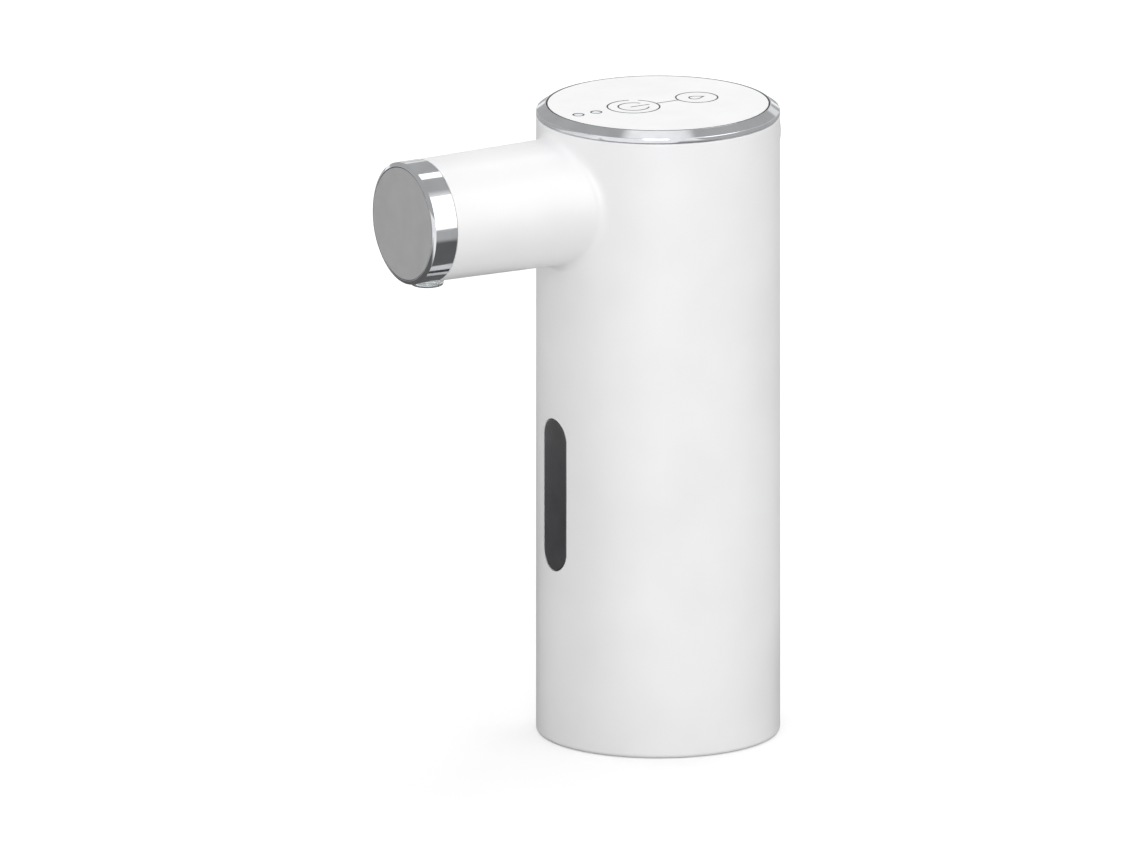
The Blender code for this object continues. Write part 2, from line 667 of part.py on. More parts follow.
def make_housing():
    """The moulded shell: column and arm in one, hollow, with its holes, bosses and board ledge."""
    edge = arc_points(
        (BODY_RADIUS - BASE_EDGE_RADIUS, BASE_EDGE_RADIUS), BASE_EDGE_RADIUS, 0.0, -90.0, 5
    )
    outline = [(0.0, HOUSING_TOP), (BODY_RADIUS, HOUSING_TOP), *edge, (0.0, 0.0)]
    shell = place(
        turned_mesh(outline, WIDE_STEPS), "body_housing", parent=BODY_AXIS, material=WHITE_SHELL
    )
    fuse(shell, place(arm_mesh(), "arm_outside", parent=ARM_AXIS))
    ledge_top = BOARD_LOW - GAP
    ledge_low = ledge_top - BOARD_LEDGE_HEIGHT
    cavity = turned_mesh(
        [
            (0.0, HOUSING_TOP + OVERRUN),
            (INNER_RADIUS, HOUSING_TOP + OVERRUN),
            (INNER_RADIUS, ledge_top),
            (INNER_RADIUS - BOARD_LEDGE, ledge_top),
            (INNER_RADIUS - BOARD_LEDGE, ledge_low),
            (INNER_RADIUS, ledge_low),
            (INNER_RADIUS, -OVERRUN),
            (0.0, -OVERRUN),
        ],
        WIDE_STEPS,
    )
    cut(shell, place(cavity, "cut_cavity"))
    bore = rod_mesh(ARM_BORE_RADIUS, SPIGOT_END + OVERRUN, ARM_STEPS)
    cut(shell, place(bore, "cut_arm_bore", parent=ARM_AXIS))
    low = CHASSIS_LOW
    for number, (x, y) in enumerate(boss_places(), 1):
        boss = place(rod_mesh(BOSS_RADIUS, BOSS_HEIGHT, 24), f"boss_{number}", (x, y, low))
        fuse(shell, boss)
        pilot = rod_mesh(SCREW_RADIUS + GAP, SCREW_LENGTH + GAP, 16)
        cut(shell, place(pilot, f"cut_boss_{number}", (x, y, low - OVERRUN)))
    cut(shell, window_prism("cut_window", SEAM))
    port = port_prism(
        "cut_port", PORT_HOLE_WIDTH, PORT_HOLE_HEIGHT,
        SOCKET_MOUTH - GAP, BODY_RADIUS + OVERRUN
    )
    cut(shell, port)
    pocket = port_prism(
        "pocket_outline", COVER_WIDTH + 2 * SEAM, COVER_HEIGHT + 2 * SEAM,
        SOCKET_MOUTH, BODY_RADIUS + 2 * OVERRUN
    )
    tab = port_prism(
        "anchor_outline", ANCHOR_WIDTH + 2 * SEAM, ANCHOR_HEIGHT + 2 * SEAM,
        SOCKET_MOUTH - SINK, BODY_RADIUS + 2 * OVERRUN + SINK, COVER_LOW - ANCHOR_HEIGHT / 2
    )
    fuse(pocket, tab)
    floor = BODY_RADIUS - COVER_RECESS
    cut(shell, curved_pad("cut_cover_pocket", floor, BODY_RADIUS + OVERRUN, pocket))
    stem = rod_mesh(ANCHOR_STEM_RADIUS + GAP, 2 * BODY_WALL + 2 * OVERRUN, 16)
    cut(shell, place(
        stem, "cut_anchor_stem",
        (0.0, BODY_RADIUS + OVERRUN, COVER_LOW - ANCHOR_HEIGHT / 2), (math.pi / 2, 0.0, 0.0)
    ))
    room = facing_prism(
        "cut_socket_room", SOCKET_WIDTH + 2 * GAP, SOCKET_HEIGHT + 2 * GAP, GAP,
        SOCKET_MOUTH - SOCKET_LENGTH - GAP, SOCKET_MOUTH, PORT_HEIGHT
    )
    cut(shell, room)
    nozzle_hole = rod_mesh(NOZZLE_RADIUS + SEAM, ARM_END_RADIUS + OVERRUN, 32)
    hole_low = ARM_HEIGHT - ARM_END_RADIUS - OVERRUN
    cut(shell, place(nozzle_hole, "cut_nozzle", (0.0, -NOZZLE_PLACE, hole_low)))
    return shell


def make_bezel():
    shoulder = BEZEL_LOW + BEZEL_BAND
    spigot_low = BEZEL_LOW - BEZEL_SPIGOT_LENGTH
    spigot_inner = FIT_RADIUS - BEZEL_SPIGOT_WALL
    profile = [
        (BEZEL_BORE_RADIUS, TOTAL_HEIGHT),
        (BODY_RADIUS, shoulder),
        (BODY_RADIUS, BEZEL_LOW),
        (FIT_RADIUS, BEZEL_LOW),
        (FIT_RADIUS, spigot_low),
        (spigot_inner, spigot_low),
        (spigot_inner, PANEL_LOW - GAP),
        (BEZEL_BORE_RADIUS, PANEL_LOW - GAP),
    ]
    place(turned_mesh(profile, WIDE_STEPS), "top_bezel_ring", material=BRIGHT_RING)


def make_panel():
    """The top panel, with a stepped lens in each of its two holes."""
    panel = place(
        rod_mesh(PANEL_RADIUS, PANEL_THICKNESS, WIDE_STEPS), "touch_panel", (0.0, 0.0, PANEL_LOW),
        material=WHITE_PANEL
    )
    for name, reach in zip(("front", "rear"), LENS_PLACES):
        hole = rod_mesh(LENS_RADIUS + SEAM, PANEL_THICKNESS + 2 * OVERRUN, SMALL_STEPS)
        cut(panel, place(hole, f"cut_lens_{name}", (0.0, -reach, PANEL_LOW - OVERRUN)))
        flange_top = -GAP
        flange_low = flange_top - LENS_FLANGE_HEIGHT
        profile = [
            (0.0, PANEL_THICKNESS),
            (LENS_RADIUS, PANEL_THICKNESS),
            (LENS_RADIUS, flange_top),
            (LENS_FLANGE_RADIUS, flange_top),
            (LENS_FLANGE_RADIUS, flange_low),
            (0.0, flange_low),
        ]
        place(
            turned_mesh(profile, SMALL_STEPS), f"led_lens_{name}", (0.0, -reach, PANEL_LOW),
            material=LENS
        )


def make_window():
    """The smoked window: flush with the shell outside, held by a wider flange inside."""
    flange_outer = INNER_RADIUS - GAP
    flange_inner = flange_outer - WINDOW_FLANGE_THICKNESS
    pane_prism = window_prism("window_outline", 0.0)
    flange_prism = window_prism("window_flange_outline", WINDOW_FLANGE)
    pane = curved_pad("window_pane", flange_inner + SINK, BODY_RADIUS, pane_prism)
    flange = curved_pad("window_flange", flange_inner, flange_outer, flange_prism)
    window = place(pane.data.copy(), "side_window", pane.location, material=SMOKED)
    fuse(window, flange)


def make_spout_end():
    """The bright ring on the arm's spigot and the plugged disc that closes it."""
    ring = place(
        turned_mesh(
            [
                (ARM_END_RADIUS - TRIM_CHAMFER_DEPTH, SPOUT_REACH),
                (ARM_END_RADIUS, SPOUT_REACH - TRIM_CHAMFER_LENGTH),
                (ARM_END_RADIUS, ARM_END + SEAM),
                (TRIM_BORE_RADIUS, ARM_END + SEAM),
                (TRIM_BORE_RADIUS, SPOUT_REACH),
            ],
            ARM_STEPS,
        ),
        "spout_trim_ring", parent=ARM_AXIS, material=BRIGHT_RING
    )
    hole = rod_mesh(NOZZLE_RADIUS + SEAM, ARM_END_RADIUS + OVERRUN, 32)
    hole_low = ARM_HEIGHT - ARM_END_RADIUS - OVERRUN
    cut(ring, place(hole, "cut_nozzle_in_ring", (0.0, -NOZZLE_PLACE, hole_low)))
    disc = TRIM_BORE_RADIUS - SEAM
    skirt = ARM_BORE_RADIUS - GAP
    skirt_inner = skirt - CAP_SKIRT_WALL
    cap = place(
        turned_mesh(
            [
                (0.0, SPOUT_REACH),
                (disc, SPOUT_REACH),
                (disc, CAP_BACK),
                (skirt, CAP_BACK),
                (skirt, CAP_BACK - CAP_SKIRT_LENGTH),
                (skirt_inner, CAP_BACK - CAP_SKIRT_LENGTH),
                (skirt_inner, CAP_BACK),
                (0.0, CAP_BACK),
            ],
            ARM_STEPS,
        ),
        "spout_end_cap", parent=ARM_AXIS, material=GREY_CAP
    )
    half = NOZZLE_COLLAR_RADIUS + GAP
    notch = block_mesh(
        (-half, -ARM_BORE_RADIUS - OVERRUN, CAP_BACK - CAP_SKIRT_LENGTH - OVERRUN),
        (half, 0.0, CAP_BACK),
    )
    cut(cap, place(notch, "cut_cap_notch", parent=ARM_AXIS))


def make_nozzle():
    """The outlet: an upright tube with a barb towards the hose and a collar over its hole."""
    proud = ARM_END_RADIUS + NOZZLE_PROUD
    drop = math.sqrt(ARM_BORE_RADIUS**2 - NOZZLE_COLLAR_RADIUS**2) - GAP
    edge = (NOZZLE_RADIUS - NOZZLE_BORE_RADIUS) / 2
    lip = arc_points((NOZZLE_RADIUS - edge, -proud + edge), edge, 0.0, -90.0, 3)
    profile = [
        (0.0, NOZZLE_RADIUS),
        (NOZZLE_RADIUS - edge, NOZZLE_RADIUS),
        (NOZZLE_RADIUS, NOZZLE_RADIUS - edge),
        (NOZZLE_RADIUS, -drop + NOZZLE_COLLAR_HEIGHT),
        (NOZZLE_COLLAR_RADIUS, -drop + NOZZLE_COLLAR_HEIGHT),
        (NOZZLE_COLLAR_RADIUS, -drop),
        (NOZZLE_RADIUS, -drop),
        *lip,
        (0.0, -proud),
    ]
    at = (0.0, -NOZZLE_PLACE, ARM_HEIGHT)
    nozzle = place(turned_mesh(profile, ROUND_STEPS), "outlet_nozzle", at, material=CLEAR)
    barb_start = NOZZLE_PLACE - SPOUT_HOSE_END + SPIGOT_GRIP
    barb = rod_mesh(BARB_RADIUS, barb_start, SMALL_STEPS)
    fuse(nozzle, place(barb, "nozzle_barb", at, (-math.pi / 2, 0.0, 0.0)))
    down = rod_mesh(NOZZLE_BORE_RADIUS, proud + OVERRUN, 16)
    cut(nozzle, place(down, "cut_nozzle_bore", at, (math.pi, 0.0, 0.0)))
    across = rod_mesh(WINE_BORE_RADIUS, barb_start + OVERRUN, 16)
    cut(nozzle, place(across, "cut_nozzle_barb_bore", at, (-math.pi / 2, 0.0, 0.0)))


def make_port_cover():
    """The soft cover, whose origin is on its living hinge, and the tab that anchors it."""
    outer = BODY_RADIUS + COVER_PROUD
    prism = port_prism(
        "cover_outline", COVER_WIDTH, COVER_HEIGHT, SOCKET_MOUTH, outer + OVERRUN
    )
    pad = curved_pad("cover_pad", COVER_INNER_RADIUS, outer, prism)
    hinge = new_frame(
        "cover_hinge", (0.0, BODY_RADIUS + COVER_PIVOT_PROUD, COVER_LOW), parent=BODY_AXIS
    )
    mesh = pad.data.copy()
    bpy.context.view_layer.update()
    shift = Vector(pad.location) - Vector(hinge.location)
    for vertex in mesh.vertices:
        vertex.co += shift
    cover = place(mesh, "port_cover", parent=hinge, material=WHITE_SILICONE)
    lug_height = COVER_LUG_HEIGHT
    lug_width = PORT_HOLE_WIDTH - 2 * COVER_LUG_MARGIN
    lug_end = COVER_INNER_RADIUS - COVER_LUG_LENGTH
    lug = port_prism("cover_lug", lug_width, lug_height, lug_end, COVER_INNER_RADIUS + SINK)
    fuse(cover, lug)
    middle = COVER_LOW - ANCHOR_HEIGHT / 2
    tab_prism = port_prism(
        "tab_outline", ANCHOR_WIDTH, ANCHOR_HEIGHT - GAP, SOCKET_MOUTH, outer + OVERRUN,
        middle - GAP / 2
    )
    tab = curved_pad("tab_pad", COVER_INNER_RADIUS, BODY_RADIUS, tab_prism)
    anchor = place(
        tab.data.copy(), "port_cover_anchor", tab.location, material=WHITE_SILICONE
    )
    stem_end = INNER_RADIUS - GAP - ANCHOR_HEAD_LENGTH
    stem = turned_mesh(
        [
            (0.0, COVER_INNER_RADIUS + SINK),
            (ANCHOR_STEM_RADIUS, COVER_INNER_RADIUS + SINK),
            (ANCHOR_STEM_RADIUS, INNER_RADIUS - GAP),
            (ANCHOR_HEAD_RADIUS, INNER_RADIUS - GAP),
            (ANCHOR_STEM_RADIUS, stem_end),
            (0.0, stem_end),
        ],
        16,
    )
    fuse(anchor, place(stem, "anchor_stem", (0.0, 0.0, middle), (-math.pi / 2, 0.0, 0.0)))


def make_bulkhead():
    """The floor over the bottle's space, with its spigots, and the screws that hold it."""
    rim = STOPPER_FLANGE_RADIUS + GAP
    profile = [
        (0.0, BULKHEAD_TOP),
        (FIT_RADIUS, BULKHEAD_TOP),
        (FIT_RADIUS, BULKHEAD_HEIGHT),
        (rim + BULKHEAD_RIM_WALL, BULKHEAD_HEIGHT),
        (rim + BULKHEAD_RIM_WALL, BULKHEAD_HEIGHT - BULKHEAD_RIM_HEIGHT),
        (rim, BULKHEAD_HEIGHT - BULKHEAD_RIM_HEIGHT),
        (rim, BULKHEAD_HEIGHT),
        (0.0, BULKHEAD_HEIGHT),
    ]
    floor = place(turned_mesh(profile, 40), "bulkhead", material=INNER_PLASTIC)
    spigots = (
        ("wine", WINE_SPIGOT_PLACE, BARB_RADIUS, SPIGOT_GRIP, WINE_BORE_RADIUS),
        ("air", PUMP_PLACE, AIR_SPIGOT_RADIUS, AIR_SPIGOT_LENGTH, AIR_BORE_RADIUS),
    )
    for name, (x, y), radius, length, _ in spigots:
        spigot = rod_mesh(radius, length + SINK, SMALL_STEPS)
        fuse(floor, place(spigot, f"{name}_spigot", (x, y, BULKHEAD_TOP - SINK)))
    for name, (x, y), _, length, bore in spigots:
        hole = rod_mesh(bore, BULKHEAD_THICKNESS + length + 2 * OVERRUN, 16)
        cut(floor, place(hole, f"cut_{name}_spigot", (x, y, BULKHEAD_HEIGHT - OVERRUN)))
    grooves = (
        ("wine", WINE_SPIGOT_PLACE, WINE_INLET_PLACE, WINE_BORE_RADIUS, WINE_GROOVE_DEPTH),
        ("air", PUMP_PLACE, AIR_OUTLET_PLACE, AIR_BORE_RADIUS, AIR_GROOVE_DEPTH),
    )
    for name, start, end, half, depth in grooves:
        run = Vector(end) - Vector(start)
        groove = block_mesh((0.0, -half, -OVERRUN), (run.length, half, depth))
        turn = (0.0, 0.0, math.atan2(run.y, run.x))
        cut(floor, place(groove, f"cut_{name}_groove", (*start, BULKHEAD_HEIGHT), turn))
    head_top = BULKHEAD_HEIGHT - GAP
    shank = [
        (0.0, SCREW_LENGTH),
        (SCREW_RADIUS / 2, SCREW_LENGTH),
        (SCREW_RADIUS, SCREW_LENGTH - SCREW_RADIUS),
        (SCREW_RADIUS, 0.0),
        (SCREW_HEAD_RADIUS, 0.0),
        (SCREW_HEAD_RADIUS, -SCREW_HEAD_HEIGHT / 2),
        (SCREW_HEAD_RADIUS - SCREW_HEAD_HEIGHT / 2, -SCREW_HEAD_HEIGHT),
        (0.0, -SCREW_HEAD_HEIGHT),
    ]
    for number, (x, y) in enumerate(boss_places(), 1):
        room = rod_mesh(SCREW_RADIUS + GAP, BULKHEAD_THICKNESS + 2 * OVERRUN, 16)
        cut(floor, place(room, f"cut_screw_{number}", (x, y, BULKHEAD_HEIGHT - OVERRUN)))
        screw = place(
            turned_mesh(shank, SMALL_STEPS), f"bulkhead_screw_{number}", (x, y, head_top),
            material=STEEL
        )
        drive = rod_mesh(SCREW_DRIVE_RADIUS, SCREW_DRIVE_DEPTH + OVERRUN, 6)
        low = head_top - SCREW_HEAD_HEIGHT - OVERRUN
        cut(screw, place(drive, f"cut_drive_{number}", (x, y, low)))


def make_stopper():
    """The ribbed bung for the bottle's mouth, and its rigid core with both passages."""
    pitch = STOPPER_LENGTH / (STOPPER_RIBS + 1)
    half_rib = pitch / 4
    ribs = []
    for i in range(STOPPER_RIBS):
        middle = STOPPER_SEAT - pitch * (i + 1)
        crest = STOPPER_RIB_RADIUS - STOPPER_TAPER * i / (STOPPER_RIBS - 1)
        root = STOPPER_NECK_RADIUS - STOPPER_TAPER * i / (STOPPER_RIBS - 1)
        ribs += [(root, middle + half_rib), (crest, middle), (root, middle - half_rib)]
    tip = STOPPER_NECK_RADIUS - STOPPER_TAPER
    bore = CORE_RADIUS + GAP
    recess = CORE_FLANGE_RADIUS + GAP
    recess_low = CORE_TOP - CORE_FLANGE_HEIGHT - GAP
    profile = [
        (STOPPER_FLANGE_RADIUS, CORE_TOP),
        (STOPPER_FLANGE_RADIUS, STOPPER_SEAT),
        (STOPPER_NECK_RADIUS, STOPPER_SEAT),
        *ribs,
        (tip, STOPPER_LOW),
        (bore, STOPPER_LOW),
        (bore, recess_low),
        (recess, recess_low),
        (recess, CORE_TOP),
    ]
    place(turned_mesh(profile, ROUND_STEPS), "stopper", material=GREY_SILICONE)
    core = place(
        turned_mesh(
            [
                (0.0, CORE_TOP),
                (CORE_FLANGE_RADIUS, CORE_TOP),
                (CORE_FLANGE_RADIUS, CORE_TOP - CORE_FLANGE_HEIGHT),
                (CORE_RADIUS, CORE_TOP - CORE_FLANGE_HEIGHT),
                (CORE_RADIUS, CORE_STEM_LOW),
                (0.0, CORE_STEM_LOW),
            ],
            ROUND_STEPS,
        ),
        "stopper_core", material=INNER_PLASTIC
    )
    step = CORE_BARB_LENGTH / 4
    barb = turned_mesh(
        [
            (0.0, CORE_BARB_LENGTH + SINK),
            (CORE_BARB_RADIUS, CORE_BARB_LENGTH + SINK),
            (CORE_BARB_RADIUS, 2 * step),
            (CORE_BARB_RADIUS + CORE_BARB_RIDGE, 2 * step),
            (CORE_BARB_RADIUS, step),
            (CORE_BARB_RADIUS - CORE_BARB_RIDGE, 0.0),
            (0.0, 0.0),
        ],
        SMALL_STEPS,
    )
    x, y = WINE_INLET_PLACE
    fuse(core, place(barb, "core_barb", (x, y, CORE_TIP_HEIGHT)))
    length = CORE_TOP - CORE_TIP_HEIGHT + 2 * OVERRUN
    wine = rod_mesh(WINE_BORE_RADIUS, length, 16)
    cut(core, place(wine, "cut_core_wine", (x, y, CORE_TIP_HEIGHT - OVERRUN)))
    air = rod_mesh(AIR_BORE_RADIUS, CORE_TOP - CORE_STEM_LOW + 2 * OVERRUN, 12)
    cut(core, place(air, "cut_core_air", (*AIR_OUTLET_PLACE, CORE_STEM_LOW - OVERRUN)))


def upright_curve(start, end, count):
    """Points of a smooth curve that leaves its start upright and reaches its end upright."""
    start, end = Vector(start), Vector(end)
    handle = Vector((0.0, 0.0, (end.z - start.z) / 2))
    points = []
    for i in range(count + 1):
        t = i / count
        near = start * (1 - t) ** 3 + (start + handle) * 3 * t * (1 - t) ** 2
        far = (end - handle) * 3 * t**2 * (1 - t) + end * t**3
        points.append(near + far)
    return points


def riser_route():
    """The riser hose's middle line: up from its spigot, forward below the pump, up the front."""
    bend_low = BULKHEAD_TOP + SPIGOT_GRIP + GAP
    bend_high = bend_low + RISER_BEND_HEIGHT
    bend = upright_curve((*WINE_SPIGOT_PLACE, bend_low), (*RISER_PLACE, bend_high), 10)
    start = Vector((*WINE_SPIGOT_PLACE, CHASSIS_LOW))
    return [start, *bend, Vector((*RISER_PLACE, RISER_TOP))]


def longer(route, overrun):
    """A route that runs past both its ends."""
    first = route[0] + (route[0] - route[1]).normalized() * overrun
    last = route[-1] + (route[-1] - route[-2]).normalized() * overrun
    return [first, *route, last]


def make_wine_way():
    """Riser hose, elbow and spout hose, from the bulkhead to the nozzle."""
    route = riser_route()
    riser = place(wire_mesh(route, HOSE_RADIUS, 3), "riser_hose", material=SILICONE)
    bore = wire_mesh(longer(route, OVERRUN), HOSE_BORE_RADIUS, 2)
    cut(riser, place(bore, "cut_riser_bore"))
    x, y = RISER_PLACE
    bend_low = ARM_HEIGHT - ELBOW_BEND
    bend_front = y - ELBOW_BEND
    line = [(x, y, RISER_TOP - SPIGOT_GRIP)]
    bend = arc_points((bend_front, bend_low), ELBOW_BEND, 0.0, 90.0, 8)
    line += [(x, along, up) for along, up in bend]
    line.append((x, -SPOUT_HOSE_START - SPIGOT_GRIP, ARM_HEIGHT))
    line = [Vector(point) for point in line]
    elbow = place(wire_mesh(line, BARB_RADIUS, 3), "spout_elbow", material=INNER_PLASTIC)
    collar = rod_mesh(ELBOW_COLLAR_RADIUS, ELBOW_COLLAR_LENGTH, 24)
    fuse(elbow, place(collar, "collar_low", (x, y, bend_low - ELBOW_COLLAR_LENGTH)))
    fuse(elbow, place(
        collar.copy(), "collar_front", (x, bend_front, ARM_HEIGHT), (math.pi / 2, 0.0, 0.0)
    ))
    inside = wire_mesh(longer(line, OVERRUN), WINE_BORE_RADIUS, 2)
    cut(elbow, place(inside, "cut_elbow_bore"))
    length = SPOUT_HOSE_END - SPOUT_HOSE_START
    place(
        tube_mesh(HOSE_RADIUS, HOSE_BORE_RADIUS, length, SMALL_STEPS), "spout_hose",
        (0.0, 0.0, SPOUT_HOSE_START), parent=ARM_AXIS, material=SILICONE
    )
    air_length = PUMP_HEIGHT - GAP - CHASSIS_LOW
    place(
        tube_mesh(AIR_HOSE_RADIUS, AIR_HOSE_BORE_RADIUS, air_length, SMALL_STEPS), "air_hose",
        (*PUMP_PLACE, CHASSIS_LOW), material=BLACK_RUBBER
    )


def make_pump():
    """The air pump: an eccentric on the motor's shaft tilts a plate that works three cups.

    The pin leans through the centre of the nutation, and the plate turns on it against the shaft,
    so that the plate wobbles without going round.
    """
    at = (*PUMP_PLACE, PUMP_HEIGHT)
    nipple = AIR_SPIGOT_LENGTH
    head = place(
        turned_mesh(
            [
                (0.0, HEAD_THICKNESS - HEAD_CHAMBER_DEPTH),
                (HEAD_CHAMBER_RADIUS, HEAD_THICKNESS - HEAD_CHAMBER_DEPTH),
                (HEAD_CHAMBER_RADIUS, HEAD_THICKNESS),
                (PUMP_RADIUS, HEAD_THICKNESS),
                (PUMP_RADIUS, 0.0),
                (AIR_SPIGOT_RADIUS, 0.0),
                (AIR_SPIGOT_RADIUS, -nipple),
                (0.0, -nipple),
            ],
            ROUND_STEPS,
        ),
        "pump_head", at, material=BLACK_PLASTIC
    )
    outlet = rod_mesh(AIR_BORE_RADIUS, nipple + HEAD_THICKNESS + OVERRUN, 12)
    cut(head, place(outlet, "cut_head_outlet", (*PUMP_PLACE, PUMP_HEIGHT - nipple - OVERRUN)))
    valve = place(
        rod_mesh(PUMP_RADIUS, VALVE_THICKNESS), "pump_valve_plate", (*PUMP_PLACE, VALVE_LOW),
        material=INNER_PLASTIC
    )
    sheet = place(
        rod_mesh(PUMP_RADIUS, SHEET_THICKNESS), "pump_diaphragm", (*PUMP_PLACE, SHEET_LOW),
        material=BLACK_RUBBER
    )
    lean, upright = math.sin(WOBBLE_TILT), math.cos(WOBBLE_TILT)
    for i in range(CUPS):
        angle = 2 * math.pi * i / CUPS
        across, along = CUP_CIRCLE * math.cos(angle), CUP_CIRCLE * math.sin(angle)
        x, y = PUMP_PLACE[0] + across, PUMP_PLACE[1] + along
        cup = rod_mesh(CUP_RADIUS, SHEET_THICKNESS + CUP_HEIGHT, 14)
        fuse(sheet, place(cup, f"cup_{i + 1}", (x, y, SHEET_LOW)))
        pad_low = CENTRE_HEIGHT + (PLATE_LOW - across * lean) / upright
        stem_top = pad_low - CUP_STEM_RADIUS * math.tan(WOBBLE_TILT) - GAP
        stem = rod_mesh(CUP_STEM_RADIUS, stem_top - SHEET_TOP - CUP_HEIGHT + SINK, 12)
        fuse(sheet, place(stem, f"stem_{i + 1}", (x, y, SHEET_TOP + CUP_HEIGHT - SINK)))
        hollow = rod_mesh(
            CUP_RADIUS - CUP_WALL, SHEET_THICKNESS + CUP_HEIGHT - CUP_WALL + OVERRUN, 14
        )
        cut(sheet, place(hollow, f"cut_cup_{i + 1}", (x, y, SHEET_LOW - OVERRUN)))
        for name, share in VALVE_HOLE_SHARES.items():
            hole = rod_mesh(VALVE_HOLE_RADIUS, VALVE_THICKNESS + 2 * OVERRUN, 10)
            where = (
                PUMP_PLACE[0] + across * share, PUMP_PLACE[1] + along * share,
                VALVE_LOW - OVERRUN
            )
            cut(valve, place(hole, f"cut_{name}_{i + 1}", where))
    bump_top = PIN_LOW - PIN_RADIUS * math.tan(WOBBLE_TILT) - GAP
    bump = rod_mesh(2 * PIN_RADIUS, WOBBLE_LIFT + bump_top + SINK, 16, PIN_RADIUS)
    fuse(sheet, place(bump, "pin_bump", (*PUMP_PLACE, SHEET_TOP - SINK)))
    inner = PUMP_RADIUS - BASE_WALL
    base = turned_mesh(
        [
            (0.0, BASE_HEIGHT),
            (PUMP_RADIUS, BASE_HEIGHT),
            (PUMP_RADIUS, 0.0),
            (inner, 0.0),
            (inner, BASE_HEIGHT - BASE_FLOOR),
            (0.0, BASE_HEIGHT - BASE_FLOOR),
        ],
        ROUND_STEPS,
    )
    base = place(base, "pump_base", (*PUMP_PLACE, BASE_LOW), material=BLACK_PLASTIC)
    hole = rod_mesh(MOTOR_BOSS_RADIUS + GAP, BASE_FLOOR + 2 * OVERRUN, 24)
    cut(base, place(hole, "cut_base_hole", (*PUMP_PLACE, BASE_TOP - BASE_FLOOR - OVERRUN)))
    make_pump_crank(ECCENTRIC_TOP - CENTRE_HEIGHT - ECCENTRIC_SHAFT_DEPTH)
    make_wobble_plate()


def make_pump_crank(shaft_seat):
    """What turns with the shaft: the eccentric and the leaning pin in it."""
    eccentric = place(
        rod_mesh(ECCENTRIC_RADIUS, ECCENTRIC_HEIGHT, 32), "pump_eccentric",
        (0.0, 0.0, ECCENTRIC_LOW), parent=PUMP_AXIS, material=INNER_PLASTIC
    )
    socket = rod_mesh(SHAFT_RADIUS + GAP, ECCENTRIC_SHAFT_DEPTH + OVERRUN, 16)
    cut(eccentric, place(socket, "cut_shaft_socket", (0.0, 0.0, shaft_seat), parent=PUMP_AXIS))
    start = ECCENTRIC_LOW - 2 * OVERRUN
    hole = rod_mesh(PIN_RADIUS + GAP, PIN_HIGH + GAP - start, 16)
    cut(eccentric, place(hole, "cut_pin_hole", (0.0, 0.0, start), parent=PIN_AXIS))
    place(
        rod_mesh(PIN_RADIUS, PIN_HIGH - PIN_LOW, 16), "pump_drive_pin", (0.0, 0.0, PIN_LOW),
        parent=PIN_AXIS, material=STEEL
    )
    shaft_low = shaft_seat + GAP
    shaft_high = END_CAP_TOP - CENTRE_HEIGHT + BUSH_HEIGHT - GAP
    place(
        rod_mesh(SHAFT_RADIUS, shaft_high - shaft_low, 16), "motor_shaft",
        (0.0, 0.0, shaft_low), parent=PUMP_AXIS, material=STEEL
    )


def make_wobble_plate():
    plate = place(
        rod_mesh(PLATE_HUB_RADIUS, PLATE_THICKNESS + PLATE_HUB_RISE, 24), "pump_wobble_plate",
        (0.0, 0.0, PLATE_LOW), parent=PIN_AXIS, material=BLACK_PLASTIC
    )
    half = PLATE_ARM_WIDTH / 2
    inset = PLATE_THICKNESS / 8
    for i in range(CUPS):
        angle = 2 * math.pi * i / CUPS
        arm = block_mesh((0.0, -half, inset), (CUP_CIRCLE, half, PLATE_THICKNESS - inset))
        turn = (0.0, 0.0, angle)
        fuse(plate, place(arm, f"plate_arm_{i + 1}", (0.0, 0.0, PLATE_LOW), turn, PIN_AXIS))
        where = (CUP_CIRCLE * math.cos(angle), CUP_CIRCLE * math.sin(angle), PLATE_LOW)
        pad = rod_mesh(PLATE_PAD_RADIUS, PLATE_THICKNESS, SMALL_STEPS)
        fuse(plate, place(pad, f"plate_pad_{i + 1}", where, parent=PIN_AXIS))
    hole = rod_mesh(PIN_RADIUS + GAP, PLATE_THICKNESS + PLATE_HUB_RISE + 2 * OVERRUN, 16)
    cut(plate, place(hole, "cut_plate_hole", (0.0, 0.0, PLATE_LOW - OVERRUN), parent=PIN_AXIS))


